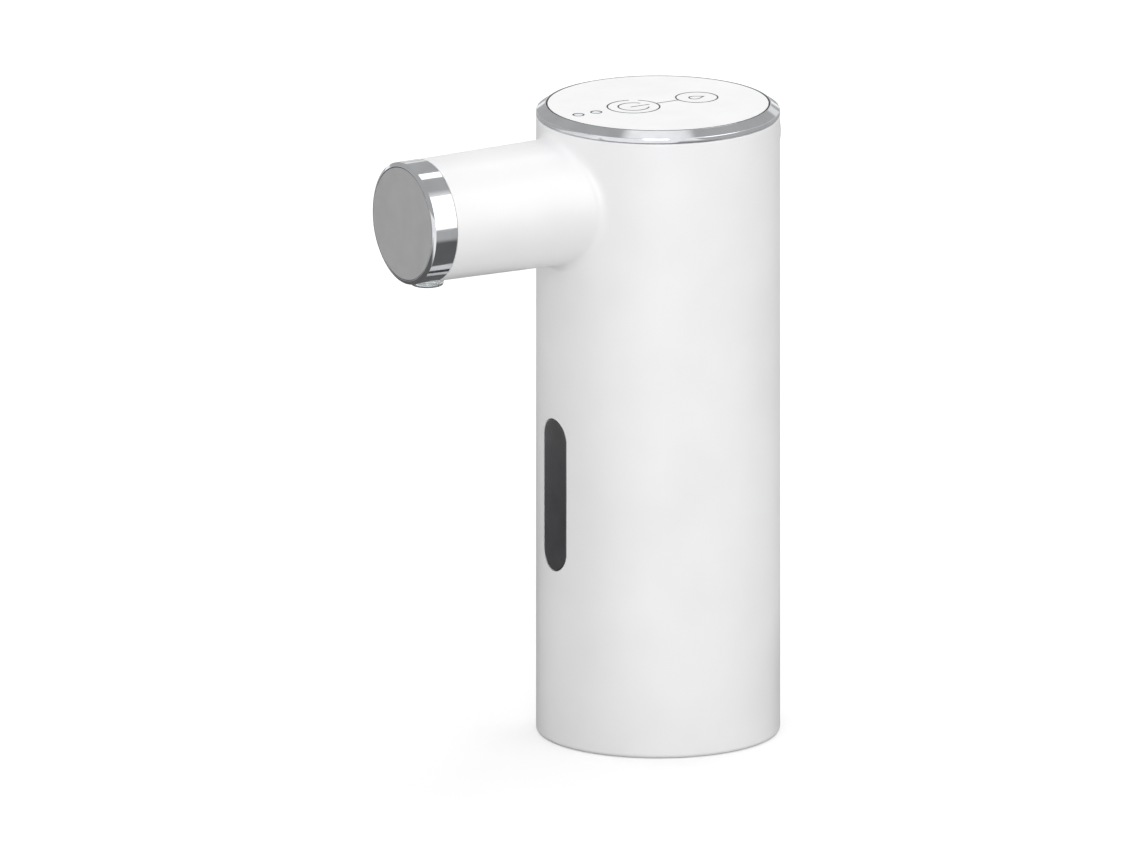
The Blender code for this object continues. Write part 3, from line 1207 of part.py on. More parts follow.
def make_motor():
    """Can with its nose, ring magnet, three-pole rotor and end cap."""
    inner = MOTOR_RADIUS - MOTOR_WALL
    shaft_room = SHAFT_RADIUS + GAP
    can = turned_mesh(
        [
            (MOTOR_RADIUS, MOTOR_LENGTH),
            (MOTOR_RADIUS, 0.0),
            (MOTOR_BOSS_RADIUS, 0.0),
            (MOTOR_BOSS_RADIUS, -MOTOR_BOSS_HEIGHT),
            (shaft_room, -MOTOR_BOSS_HEIGHT),
            (shaft_room, MOTOR_WALL),
            (inner, MOTOR_WALL),
            (inner, MOTOR_LENGTH),
        ],
        ROUND_STEPS,
    )
    place(can, "motor_can", (*PUMP_PLACE, MOTOR_LOW), material=STEEL)
    lip = inner - GAP
    cap = turned_mesh(
        [
            (BUSH_RADIUS, END_CAP_HEIGHT + BUSH_HEIGHT),
            (BUSH_RADIUS, END_CAP_HEIGHT),
            (MOTOR_RADIUS, END_CAP_HEIGHT),
            (MOTOR_RADIUS, 0.0),
            (lip, 0.0),
            (lip, -END_CAP_LIP),
            (lip - END_CAP_LIP_WALL, -END_CAP_LIP),
            (lip - END_CAP_LIP_WALL, 0.0),
            (shaft_room, 0.0),
            (shaft_room, END_CAP_HEIGHT + BUSH_HEIGHT),
        ],
        ROUND_STEPS,
    )
    place(cap, "motor_end_cap", (*PUMP_PLACE, MOTOR_TOP + GAP), material=BLACK_PLASTIC)
    magnet = tube_mesh(MAGNET_RADIUS, MAGNET_RADIUS - MAGNET_THICKNESS, MAGNET_LENGTH)
    low = MOTOR_MIDDLE - MAGNET_LENGTH / 2
    place(magnet, "motor_magnet_ring", (*PUMP_PLACE, low), material=MAGNET)
    low = MOTOR_MIDDLE - ROTOR_LENGTH / 2 - CENTRE_HEIGHT
    rotor = place(
        rod_mesh(ROTOR_RADIUS, ROTOR_LENGTH, 36), "motor_rotor", (0.0, 0.0, low),
        parent=PUMP_AXIS, material=STEEL
    )
    core = ROTOR_RADIUS - ROTOR_SLOT_DEPTH
    half = ROTOR_SLOT_WIDTH / 2
    for i in range(ROTOR_POLES):
        slot = block_mesh(
            (core, -half, -OVERRUN), (ROTOR_RADIUS + OVERRUN, half, ROTOR_LENGTH + OVERRUN)
        )
        turn = (0.0, 0.0, 2 * math.pi * i / ROTOR_POLES)
        cut(rotor, place(slot, f"cut_rotor_{i + 1}", (0.0, 0.0, low), turn, PUMP_AXIS))
    hole = rod_mesh(shaft_room, ROTOR_LENGTH + 2 * OVERRUN, 16)
    cut(rotor, place(hole, "cut_rotor_hole", (0.0, 0.0, low - OVERRUN), parent=PUMP_AXIS))


def make_cell():
    edge = CELL_EDGE_RADIUS
    top = arc_points((CELL_RADIUS - edge, CELL_LENGTH - edge), edge, 90.0, 0.0, 3)
    bottom = arc_points((CELL_RADIUS - edge, edge), edge, 0.0, -90.0, 3)
    profile = [
        (0.0, CELL_LENGTH + CELL_TIP_HEIGHT),
        (CELL_TIP_RADIUS, CELL_LENGTH + CELL_TIP_HEIGHT),
        (CELL_TIP_RADIUS, CELL_LENGTH),
        *top,
        *bottom,
        (0.0, 0.0),
    ]
    cell = turned_mesh(profile, 24)
    place(cell, "battery_cell", (*CELL_PLACE, CELL_LOW), material=CELL_SLEEVE)


def make_chassis():
    """The inner frame: foot plate, cradle for the cell, shelf and clip for the pump and motor."""
    frame = place(
        rod_mesh(FIT_RADIUS + OVERRUN, CHASSIS_PLATE, WIDE_STEPS), "chassis",
        (0.0, 0.0, CHASSIS_LOW), material=INNER_PLASTIC
    )
    cradle = rod_mesh(CELL_RADIUS + GAP + CHASSIS_WALL, CHASSIS_CRADLE_LENGTH, 32)
    fuse(frame, place(cradle, "cradle", (*CELL_PLACE, CHASSIS_TOP - SINK)))
    holder = MOTOR_RADIUS + GAP + CHASSIS_WALL
    shelf_low = SHELF_TOP - CHASSIS_SHELF
    fuse(frame, place(
        rod_mesh(holder, CHASSIS_SHELF, 36), "shelf", (*PUMP_PLACE, shelf_low)
    ))
    clip = place(
        rod_mesh(holder, CHASSIS_CLIP_LENGTH, 36), "clip", (*PUMP_PLACE, shelf_low + SINK)
    )
    away = block_mesh(
        (-holder - OVERRUN, -holder - OVERRUN, -OVERRUN),
        (CHASSIS_CLIP_OFFSET, holder + OVERRUN, CHASSIS_CLIP_LENGTH + 2 * OVERRUN),
    )
    cut(clip, place(away, "cut_clip_half", (*PUMP_PLACE, shelf_low)))
    fuse(frame, clip)
    reach = MOTOR_RADIUS - CHASSIS_POST_RADIUS
    for number, angle in enumerate(CHASSIS_POST_ANGLES, 1):
        turn = math.radians(angle)
        x = PUMP_PLACE[0] + reach * math.cos(turn)
        y = PUMP_PLACE[1] + reach * math.sin(turn)
        post = rod_mesh(CHASSIS_POST_RADIUS, shelf_low - CHASSIS_TOP + 2 * SINK, SMALL_STEPS)
        fuse(frame, place(post, f"post_{number}", (x, y, CHASSIS_TOP - SINK)))
    limit = rod_mesh(FIT_RADIUS, TOTAL_HEIGHT, WIDE_STEPS)
    trim(frame, place(limit, "chassis_limit"))
    for number, (x, y) in enumerate(boss_places(), 1):
        room = rod_mesh(BOSS_RADIUS + GAP, CHASSIS_PLATE + 2 * OVERRUN, 24)
        cut(frame, place(room, f"cut_boss_room_{number}", (x, y, CHASSIS_LOW - OVERRUN)))
    bay = rod_mesh(CELL_RADIUS + GAP, TOTAL_HEIGHT, 32)
    cut(frame, place(bay, "cut_cell_bay", (*CELL_PLACE, CHASSIS_TOP)))
    bay = rod_mesh(MOTOR_RADIUS + GAP, TOTAL_HEIGHT, 36)
    cut(frame, place(bay, "cut_motor_bay", (*PUMP_PLACE, SHELF_TOP)))
    hole = rod_mesh(AIR_HOSE_RADIUS + GAP, SHELF_TOP, 24)
    cut(frame, place(hole, "cut_air_hose_room", (*PUMP_PLACE, CHASSIS_LOW - OVERRUN)))
    path = longer(riser_route(), OVERRUN)
    cut(frame, place(wire_mesh(path, HOSE_RADIUS + CHASSIS_HOSE_ROOM, 3), "cut_hose_room"))


def make_board():
    """Main board with its charging socket, touch springs, indicators and leads."""
    place(
        rod_mesh(BOARD_RADIUS, BOARD_THICKNESS, 48), "main_board", (0.0, 0.0, BOARD_LOW),
        material=BOARD_GREEN
    )
    turn = (math.pi / 2, 0.0, 0.0)
    socket = plate_mesh(
        rounded_outline(SOCKET_WIDTH, SOCKET_HEIGHT, SOCKET_HEIGHT / 2 - SOCKET_WALL),
        SOCKET_LENGTH,
    )
    middle = SOCKET_MOUTH - SOCKET_LENGTH / 2
    socket = place(socket, "usb_socket", (0.0, middle, PORT_HEIGHT), turn, material=STEEL)
    mouth_width = SOCKET_WIDTH - 2 * SOCKET_WALL
    mouth_height = SOCKET_HEIGHT - 2 * SOCKET_WALL
    back = SOCKET_MOUTH - SOCKET_DEPTH
    mouth = facing_prism(
        "cut_socket_mouth", mouth_width, mouth_height, mouth_height / 2 - SOCKET_WALL / 2,
        back, SOCKET_MOUTH + OVERRUN, PORT_HEIGHT
    )
    cut(socket, mouth)
    tongue = block_mesh(
        (-SOCKET_TONGUE_WIDTH / 2, back - SINK, -SOCKET_TONGUE_HEIGHT / 2),
        (SOCKET_TONGUE_WIDTH / 2, back + SOCKET_TONGUE_LENGTH, SOCKET_TONGUE_HEIGHT / 2),
    )
    fuse(socket, place(tongue, "socket_tongue", (0.0, 0.0, PORT_HEIGHT)))
    low = BOARD_TOP + GAP + SPRING_WIRE_RADIUS
    rise = PANEL_LOW - GAP - SPRING_WIRE_RADIUS - low
    per_turn = 10
    for name, reach in (("power", POWER_KEY_PLACE), ("mode", MODE_KEY_PLACE)):
        count = int(SPRING_TURNS * per_turn)
        points = []
        for i in range(count + 1):
            angle = 2 * math.pi * i / per_turn
            points.append((
                SPRING_RADIUS * math.cos(angle), SPRING_RADIUS * math.sin(angle),
                rise * i / count
            ))
        spring = wire_mesh(points, SPRING_WIRE_RADIUS, 1)
        place(spring, f"touch_spring_{name}", (0.0, -reach, low), material=STEEL)
    for name, reach in zip(("front", "rear"), LENS_PLACES):
        led = block_mesh(
            (-LED_LENGTH / 2, -LED_WIDTH / 2, 0.0), (LED_LENGTH / 2, LED_WIDTH / 2, LED_HEIGHT)
        )
        place(led, f"indicator_led_{name}", (0.0, -reach, BOARD_TOP + GAP), material=LENS)


def make_leads():
    high = BOARD_LOW - GAP
    cell_top = CELL_HIGH + GAP
    shoulder = (CELL_TIP_RADIUS + CELL_RADIUS) / 2
    cell_x, cell_y = CELL_PLACE
    motor_x, motor_y = PUMP_PLACE
    terminal = MOTOR_RADIUS / 2
    ends = (
        ("battery_lead_plus", (cell_x, cell_y, cell_top + CELL_TIP_HEIGHT),
         (cell_x / 2, cell_y, high), RED_LEAD),
        ("battery_lead_minus", (cell_x, cell_y + shoulder, cell_top),
         (cell_x / 2, cell_y + LEAD_SPACING, high), BLACK_LEAD),
        ("motor_lead_plus", (motor_x + terminal, motor_y, END_CAP_TOP + GAP),
         (motor_x / 2, motor_y, high), RED_LEAD),
        ("motor_lead_minus", (motor_x - terminal, motor_y, END_CAP_TOP + GAP),
         (motor_x, motor_y, high), BLACK_LEAD),
    )
    for name, start, end, material in ends:
        mesh = wire_mesh(upright_curve(start, end, 8), LEAD_RADIUS, 1)
        place(mesh, name, material=material)


make_housing()
make_bezel()
make_panel()
make_window()
make_spout_end()
make_nozzle()
make_port_cover()
make_bulkhead()
make_stopper()
make_wine_way()
make_pump()
make_motor()
make_cell()
make_chassis()
make_board()
make_leads()
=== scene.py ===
"""Looks of the electric wine aerator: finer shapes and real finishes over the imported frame.

The column's axis is upright at x = 0, the spout points to -Y, and all lengths are in metres.
"""
import math

import bpy
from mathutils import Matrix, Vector


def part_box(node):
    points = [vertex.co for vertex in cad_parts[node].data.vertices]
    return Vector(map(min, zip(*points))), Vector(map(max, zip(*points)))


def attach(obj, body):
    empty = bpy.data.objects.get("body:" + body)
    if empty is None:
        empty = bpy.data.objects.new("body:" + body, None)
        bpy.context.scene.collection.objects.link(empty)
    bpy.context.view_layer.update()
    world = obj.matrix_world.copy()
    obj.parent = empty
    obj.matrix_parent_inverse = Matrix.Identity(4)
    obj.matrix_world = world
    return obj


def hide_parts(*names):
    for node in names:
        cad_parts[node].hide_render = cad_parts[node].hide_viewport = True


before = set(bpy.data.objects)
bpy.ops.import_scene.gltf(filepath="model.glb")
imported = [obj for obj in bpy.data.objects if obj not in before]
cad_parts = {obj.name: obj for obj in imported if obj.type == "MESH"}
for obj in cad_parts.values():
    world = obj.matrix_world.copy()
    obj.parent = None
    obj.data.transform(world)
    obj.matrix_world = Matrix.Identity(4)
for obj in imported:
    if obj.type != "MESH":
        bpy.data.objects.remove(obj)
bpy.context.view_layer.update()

MM = 0.001

# Sizes read from the frame
shell_low, shell_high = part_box("body_housing")
bezel_low, bezel_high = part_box("top_bezel_ring")
panel_low, panel_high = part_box("touch_panel")
trim_low, trim_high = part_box("spout_trim_ring")
cap_low, cap_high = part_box("spout_end_cap")
nozzle_low, nozzle_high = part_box("outlet_nozzle")
cover_low, cover_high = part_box("port_cover")
window_low, window_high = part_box("side_window")
stopper_low, stopper_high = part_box("stopper")
BODY_RADIUS = (shell_high.x - shell_low.x) / 2
AXIS_Y = shell_high.y - BODY_RADIUS
SHELL_TOP = shell_high.z
TOP = panel_high.z
PANEL_RADIUS = (panel_high.x - panel_low.x) / 2
ARM_HEIGHT = (trim_low.z + trim_high.z) / 2
ARM_END_RADIUS = (trim_high.z - trim_low.z) / 2
SPOUT_FACE = AXIS_Y - trim_low.y
CAP_RADIUS = (cap_high.x - cap_low.x) / 2
COVER_RADIUS = cover_high.y - AXIS_Y

# Sizes repeated from the part's source
BODY_WALL = 2.0 * MM
SEAM = 0.15 * MM
BASE_EDGE = 0.9 * MM
TOP_EDGE = 0.25 * MM
ARM_ROOT_RADIUS = 12.04 * MM
ARM_END = 50.95 * MM
ARM_BORE_RADIUS = 9.6 * MM
ARM_BLEND = 1.6 * MM
SPIGOT_RADIUS = 10.55 * MM
SPIGOT_LENGTH = 3.95 * MM
TRIM_CHAMFER_LENGTH = 0.45 * MM
TRIM_CHAMFER_DEPTH = 0.72 * MM
TRIM_BORE_RADIUS = 10.85 * MM
CAP_THICKNESS = 1.0 * MM
NOZZLE_PLACE = 50.8 * MM
NOZZLE_RADIUS = 3.2 * MM
NOZZLE_BORE_RADIUS = 2.05 * MM
NOZZLE_COLLAR_RADIUS = 4.0 * MM
NOZZLE_COLLAR_HEIGHT = 1.2 * MM
CAP_SKIRT_LENGTH = 3.0 * MM
CAP_SKIRT_WALL = 1.2 * MM
BEZEL_BAND = 0.88 * MM
BEZEL_BORE_RADIUS = 21.15 * MM
BEZEL_SPIGOT_RADIUS = 20.7 * MM
BEZEL_SPIGOT_WALL = 0.8 * MM
LENS_RADIUS = 0.94 * MM
LENS_FLANGE_RADIUS = 1.5 * MM
LENS_PLACES = (17.5 * MM, 13.6 * MM)
POWER_KEY_PLACE = 5.4 * MM
MODE_KEY_PLACE = -8.5 * MM
WINDOW_WIDTH = 8.0 * MM
WINDOW_HEIGHT = 29.3 * MM
COVER_WIDTH = 13.5 * MM
COVER_HEIGHT = 6.5 * MM
COVER_RECESS = 1.0 * MM
COVER_LUG_WIDTH = 8.8 * MM
COVER_LUG_HEIGHT = 2.6 * MM
SOCKET_HOLE_WIDTH = 9.6 * MM
SOCKET_HOLE_HEIGHT = 3.9 * MM
ANCHOR_WIDTH = 5.0 * MM
ANCHOR_HEIGHT = 1.6 * MM
ANCHOR_STEM_RADIUS = 0.55 * MM
ANCHOR_HEAD_RADIUS = 1.0 * MM
STOPPER_FLANGE_HEIGHT = 3.4 * MM
STOPPER_RIBS = 4
STOPPER_RIB_RADIUS = 9.8 * MM
STOPPER_NECK_RADIUS = 8.2 * MM
STOPPER_TAPER = 0.9 * MM
GAP = 0.3 * MM

# The print: the width of its lines, how deep it starts in the panel and how far it stands up
INK_WIDTH = 0.28 * MM
INK_LOW = 0.004 * MM
INK_THICKNESS = 0.016 * MM

# Fineness of the round shapes, in points round a circle
COLUMN_STEPS = 256
ARM_STEPS = 160
SMALL_STEPS = 64

# How far a shape starts inside the one that it joins, and a tool runs past what it cuts
SINK = 0.005 * MM
SOFT_SINK = 0.2 * MM
REACH_OVER = 1.0 * MM

# The turn that lays an upright piece along the arm, its top towards the spout's face
ALONG_ARM = (math.pi / 2, 0.0, 0.0)


def linear(hex_colour):
    """Linear red, green, blue and alpha of an sRGB hex colour."""
    channels = []
    for i in (1, 3, 5):
        value = int(hex_colour[i:i + 2], 16) / 255
        channels.append(value / 12.92 if value <= 0.04045 else ((value + 0.055) / 1.055) ** 2.4)
    return (*channels, 1.0)


def add_node(tree, kind, values=None, **settings):
    """Adds a node. Settings are its properties; values are its inputs, set or linked."""
    node = tree.nodes.new(kind)
    for name, setting in settings.items():
        setattr(node, name, setting)
    for socket, value in (values or {}).items():
        if isinstance(value, bpy.types.NodeSocket):
            tree.links.new(value, node.inputs[socket])
        else:
            node.inputs[socket].default_value = value
    return node


def start_finish(name, colour, roughness, **sockets):
    """A material with its shader, and the Object coordinates that its patterns read."""
    finish = bpy.data.materials.new(name)
    finish.use_nodes = True
    finish.diffuse_color = linear(colour)
    tree = finish.node_tree
    shader = tree.nodes["Principled BSDF"]
    shader.inputs["Base Color"].default_value = linear(colour)
    shader.inputs["Roughness"].default_value = roughness
    for socket, value in sockets.items():
        shader.inputs[socket.replace("_", " ")].default_value = value
    place = add_node(tree, "ShaderNodeTexCoord").outputs["Object"]
    return finish, tree, shader, place


def clouded(tree, shader, place, light, dark, size):
    """Lets the colour drift between two near shades over a real size."""
    cloud = add_node(tree, "ShaderNodeTexNoise", {"Vector": place, "Scale": 1 / size, "Detail": 2.0})
    share = add_node(
        tree, "ShaderNodeMapRange", {"Value": cloud.outputs["Fac"], "From Min": 0.35, "From Max": 0.65}
    )
    shades = add_node(
        tree, "ShaderNodeMix", {0: share.outputs["Result"], 6: linear(light), 7: linear(dark)},
        data_type="RGBA"
    )
    tree.links.new(shades.outputs[2], shader.inputs["Base Color"])


def handled(tree, shader, place, low, high, size):
    """Lets the gloss drift between two roughnesses, as handling leaves it."""
    smear = add_node(
        tree, "ShaderNodeTexNoise",
        {"Vector": place, "Scale": 1 / size, "Detail": 4.0, "Roughness": 0.6}
    )
    gloss = add_node(
        tree, "ShaderNodeMapRange",
        {"Value": smear.outputs["Fac"], "From Min": 0.3, "From Max": 0.7, "To Min": low, "To Max": high}
    )
    tree.links.new(gloss.outputs["Result"], shader.inputs["Roughness"])


def grained(tree, shader, place, size, depth, detail=2.0):
    """Raises a fine grain of a real size and depth."""
    grain = add_node(
        tree, "ShaderNodeTexNoise", {"Vector": place, "Scale": 1 / size, "Detail": detail}
    )
    relief = add_node(
        tree, "ShaderNodeBump",
        {"Height": grain.outputs["Fac"], "Distance": depth, "Strength": 1.0}
    )
    tree.links.new(relief.outputs["Normal"], shader.inputs["Normal"])


def moulded_abs():
    # White ABS, injection moulded in a finely eroded tool: satin, cool white, a soft broad highlight
    finish, tree, shader, place = start_finish("moulded_white_abs", "#F2F2F3", 0.3, IOR=1.54)
    clouded(tree, shader, place, "#F3F3F4", "#EFEFF0", 18 * MM)
    handled(tree, shader, place, 0.29, 0.33, 12 * MM)
    # Real spark grain is about 0.1 mm; it is drawn at 0.45 mm so that it shows
    grained(tree, shader, place, 0.45 * MM, 0.003 * MM)
    return finish


def touch_acrylic():
    # White-backed acrylic, cast and polished: a clear glossy skin over bright white
    finish, tree, shader, place = start_finish(
        "polished_white_acrylic", "#F7F7F8", 0.14, IOR=1.49, Coat_Weight=0.1, Coat_Roughness=0.05
    )
    clouded(tree, shader, place, "#F8F8F9", "#F4F4F5", 9 * MM)
    handled(tree, shader, place, 0.09, 0.17, 4 * MM)
    return finish


def chrome_plate():
    # Bright chromium over ABS: a neutral mirror with the faint ripple of the plastic under it
    finish, tree, shader, place = start_finish("chromed_abs", "#E6E8EB", 0.08, Metallic=1.0)
    clouded(tree, shader, place, "#E9EBEE", "#E0E2E5", 5 * MM)
    handled(tree, shader, place, 0.05, 0.12, 2.5 * MM)
    grained(tree, shader, place, 3.0 * MM, 0.004 * MM)
    return finish


def blasted_aluminium():
    # Bead-blasted, clear-anodised aluminium: even mid grey with hardly any highlight
    finish, tree, shader, place = start_finish("blasted_anodised_aluminium", "#B9B9BA", 0.52, Metallic=0.3)
    clouded(tree, shader, place, "#BABABB", "#B5B5B6", 5 * MM)
    handled(tree, shader, place, 0.48, 0.58, 3 * MM)
    # Blasting leaves dimples of about 0.1 mm; drawn at 0.3 mm so that they show
    grained(tree, shader, place, 0.3 * MM, 0.004 * MM)
    return finish


def smoked_polycarbonate():
    # Smoke-tinted polycarbonate: near black in depth, glossy, a little lighter where it is thin
    finish, tree, shader, place = start_finish(
        "smoked_polycarbonate", "#3A3A3C", 0.2, IOR=1.58, Coat_Weight=0.2, Coat_Roughness=0.08
    )
    clouded(tree, shader, place, "#444446", "#3B3B3D", 6 * MM)
    handled(tree, shader, place, 0.16, 0.26, 3 * MM)
    return finish


def clear_copolyester():
    # Clear food-grade copolyester: water clear, with a thin bright edge
    finish, tree, shader, place = start_finish(
        "clear_copolyester", "#F3F6F7", 0.06, IOR=1.54, Transmission_Weight=0.9
    )
    handled(tree, shader, place, 0.04, 0.12, 2 * MM)
    grained(tree, shader, place, 1.2 * MM, 0.004 * MM)
    return finish


def frosted_lens():
    # Frosted light guide: milky, slightly bluish white
    finish, tree, shader, place = start_finish(
        "frosted_light_guide", "#F3F5F6", 0.3, IOR=1.49, Subsurface_Weight=0.1, Subsurface_Scale=0.001
    )
    clouded(tree, shader, place, "#F5F7F8", "#EBEEF0", 0.6 * MM)
    handled(tree, shader, place, 0.3, 0.4, 0.4 * MM)
    return finish


def screen_ink():
    # Grey screen-printed ink: dead matt, its edges a little uneven in density
    finish, tree, shader, place = start_finish(
        "screen_printed_grey_ink", "#515356", 0.78, IOR=1.5, Specular_IOR_Level=0.1
    )
    clouded(tree, shader, place, "#4A4C4F", "#5F6164", 0.5 * MM)
    handled(tree, shader, place, 0.7, 0.85, 0.4 * MM)
    return finish


def soft_silicone(name, light, dark):
    # Moulded silicone: matt and slightly waxy, with light scattered under its skin
    finish, tree, shader, place = start_finish(
        name, light, 0.55, IOR=1.41, Subsurface_Weight=0.1, Subsurface_Scale=0.002,
        Sheen_Weight=0.15, Sheen_Roughness=0.5
    )
    clouded(tree, shader, place, light, dark, 3 * MM)
    handled(tree, shader, place, 0.5, 0.62, 2 * MM)
    grained(tree, shader, place, 0.35 * MM, 0.006 * MM)
    return finish


def clear_hose():
    # Translucent silicone hose: milky with a soft gloss
    finish, tree, shader, place = start_finish(
        "translucent_silicone_hose", "#DDE0DD", 0.4, IOR=1.41, Transmission_Weight=0.5
    )
    clouded(tree, shader, place, "#E1E3E0", "#D2D5D2", 4 * MM)
    handled(tree, shader, place, 0.34, 0.48, 2 * MM)
    return finish


def natural_plastic():
    # Unpainted polypropylene: milky off-white with a satin skin
    finish, tree, shader, place = start_finish("natural_polypropylene", "#D9DAD6", 0.46, IOR=1.49)
    clouded(tree, shader, place, "#DCDDD9", "#D0D1CD", 6 * MM)
    handled(tree, shader, place, 0.42, 0.54, 3 * MM)
    grained(tree, shader, place, 0.5 * MM, 0.005 * MM)
    return finish


def black_nylon():
    # Glass-filled nylon: near black with pale flecks of fibre at its skin
    finish, tree, shader, place = start_finish("glass_filled_black_nylon", "#242527", 0.5, IOR=1.53)
    clouded(tree, shader, place, "#222325", "#2F3033", 0.8 * MM)
    handled(tree, shader, place, 0.42, 0.6, 1.5 * MM)
    grained(tree, shader, place, 0.3 * MM, 0.008 * MM)
    return finish


def gap_shade_fill():
    # Dark grey fill laid in the gap round the panel, painted shade that stands for the shadow in that gap:
    # dry and matt, with a fine grain
    finish, tree, shader, place = start_finish("grey_gap_shade_fill", "#3C3D3F", 0.8, IOR=1.45)
    clouded(tree, shader, place, "#3A3B3D", "#4A4B4D", 0.4 * MM)
    grained(tree, shader, place, 0.15 * MM, 0.01 * MM)
    return finish


def black_rubber():
    # Black moulded rubber: deep, dry and matt
    finish, tree, shader, place = start_finish("black_moulded_rubber", "#1D1E1F", 0.72, IOR=1.52)
    clouded(tree, shader, place, "#1C1D1E", "#29292A", 1.2 * MM)
    grained(tree, shader, place, 0.25 * MM, 0.01 * MM)
    return finish


def plated_steel():
    # Zinc-plated steel: bright grey with the fine drag marks of its forming
    finish, tree, shader, place = start_finish("zinc_plated_steel", "#B6B8BB", 0.3, Metallic=1.0)
    clouded(tree, shader, place, "#BABCBF", "#A4A6AA", 2.5 * MM)
    handled(tree, shader, place, 0.28, 0.4, 1.5 * MM)
    grained(tree, shader, place, 0.4 * MM, 0.004 * MM, 4.0)
    return finish


def dark_ferrite():
    # Sintered ferrite: charcoal and powdery
    finish, tree, shader, place = start_finish("sintered_ferrite", "#3A3B3D", 0.65, Metallic=0.2)
    clouded(tree, shader, place, "#3C3D3F", "#323335", 1 * MM)
    grained(tree, shader, place, 0.2 * MM, 0.01 * MM)
    return finish


def shrink_sleeve():
    # Blue shrink film over a steel can: glossy, with faint shrink wrinkles
    finish, tree, shader, place = start_finish(
        "blue_shrink_sleeve", "#3B6FA8", 0.25, IOR=1.53, Coat_Weight=0.4, Coat_Roughness=0.1
    )
    clouded(tree, shader, place, "#3D72AC", "#35669C", 5 * MM)
    handled(tree, shader, place, 0.28, 0.36, 3 * MM)
    grained(tree, shader, place, 2.5 * MM, 0.01 * MM)
    return finish


def solder_resist():
    # Green solder resist over copper: tracks show as slightly raised, lighter lines
    finish, tree, shader, place = start_finish("green_solder_resist", "#1E6B3C", 0.35, IOR=1.55)
    tracks = add_node(
        tree, "ShaderNodeTexBrick",
        {
            "Vector": place, "Scale": 1 / (1.0 * MM), "Color1": linear("#1E6B3C"),
            "Color2": linear("#22733F"), "Mortar": linear("#3A8F55"), "Mortar Size": 0.12,
            "Brick Width": 3.2, "Row Height": 1.1
        }
    )
    tree.links.new(tracks.outputs["Color"], shader.inputs["Base Color"])
    relief = add_node(
        tree, "ShaderNodeBump", {"Height": tracks.outputs["Fac"], "Distance": 0.02 * MM}
    )
    tree.links.new(relief.outputs["Normal"], shader.inputs["Normal"])
    handled(tree, shader, place, 0.3, 0.42, 2 * MM)
    return finish


def wire_sheath(name, light, dark):
    # Soft PVC insulation: a saturated colour with a satin gloss
    finish, tree, shader, place = start_finish(name, light, 0.38, IOR=1.53)
    clouded(tree, shader, place, light, dark, 2 * MM)
    handled(tree, shader, place, 0.34, 0.46, 1.5 * MM)
    return finish


WHITE_ABS = moulded_abs()
ACRYLIC = touch_acrylic()
CHROME = chrome_plate()
CAP_GREY = blasted_aluminium()
SMOKED = smoked_polycarbonate()
CLEAR = clear_copolyester()
LENS = frosted_lens()
INK = screen_ink()
WHITE_SILICONE = soft_silicone("white_moulded_silicone", "#F0F0EF", "#E6E6E5")
GREY_SILICONE = soft_silicone("grey_moulded_silicone", "#8E9092", "#828486")
HOSE = clear_hose()
NATURAL = natural_plastic()
NYLON = black_nylon()
RUBBER = black_rubber()
GAP_SHADE = gap_shade_fill()
STEEL = plated_steel()
FERRITE = dark_ferrite()
SLEEVE = shrink_sleeve()
RESIST = solder_resist()
RED_SHEATH = wire_sheath("red_pvc_sheath", "#C22A2D", "#B02427")
BLACK_SHEATH = wire_sheath("black_pvc_sheath", "#212224", "#2A2B2D")


def wake(piece):
    """Makes this piece the only selected one, because an operator acts on all that is selected."""
    bpy.ops.object.select_all(action="DESELECT")
    piece.select_set(True)
    bpy.context.view_layer.objects.active = piece


def edit(piece, select="SELECT"):
    wake(piece)
    bpy.ops.object.mode_set(mode="EDIT")
    bpy.ops.mesh.select_all(action=select)


def leave_edit():
    bpy.ops.object.mode_set(mode="OBJECT")


def lay_down(piece, place=(0.0, 0.0, 0.0), turn=(0.0, 0.0, 0.0)):
    """Puts a piece in its place and leaves its object at the origin."""
    wake(piece)
    piece.location = place
    piece.rotation_euler = turn
    bpy.ops.object.transform_apply(location=True, rotation=True, scale=True)
    return piece


def apply(piece, kind, **settings):
    """Adds a modifier and applies it."""
    wake(piece)
    modifier = piece.modifiers.new(kind.title(), kind)
    for name, setting in settings.items():
        setattr(modifier, name, setting)
    bpy.ops.object.modifier_apply(modifier=modifier.name)
    return piece


def carve(piece, tool, operation="DIFFERENCE"):
    """Cuts a tool out of a piece, or joins or crosses the two, and throws the tool away."""
    apply(piece, "BOOLEAN", operation=operation, solver="EXACT", object=tool)
    bpy.data.objects.remove(tool)
    return piece


def round_edges(piece, width, segments=2, angle=30.0):
    return apply(
        piece, "BEVEL", width=width, segments=segments, limit_method="ANGLE",
        angle_limit=math.radians(angle), use_clamp_overlap=True
    )


def smooth(piece, angle=35.0):
    wake(piece)
    bpy.ops.object.shade_smooth_by_angle(angle=math.radians(angle))
    return piece


def smooth_by_area(piece, angle=35.0, weight=50):
    """Smooths a piece so that its large faces look flat right up to their rounded edges."""
    return apply(smooth(piece, angle), "WEIGHTED_NORMAL", keep_sharp=True, weight=weight)


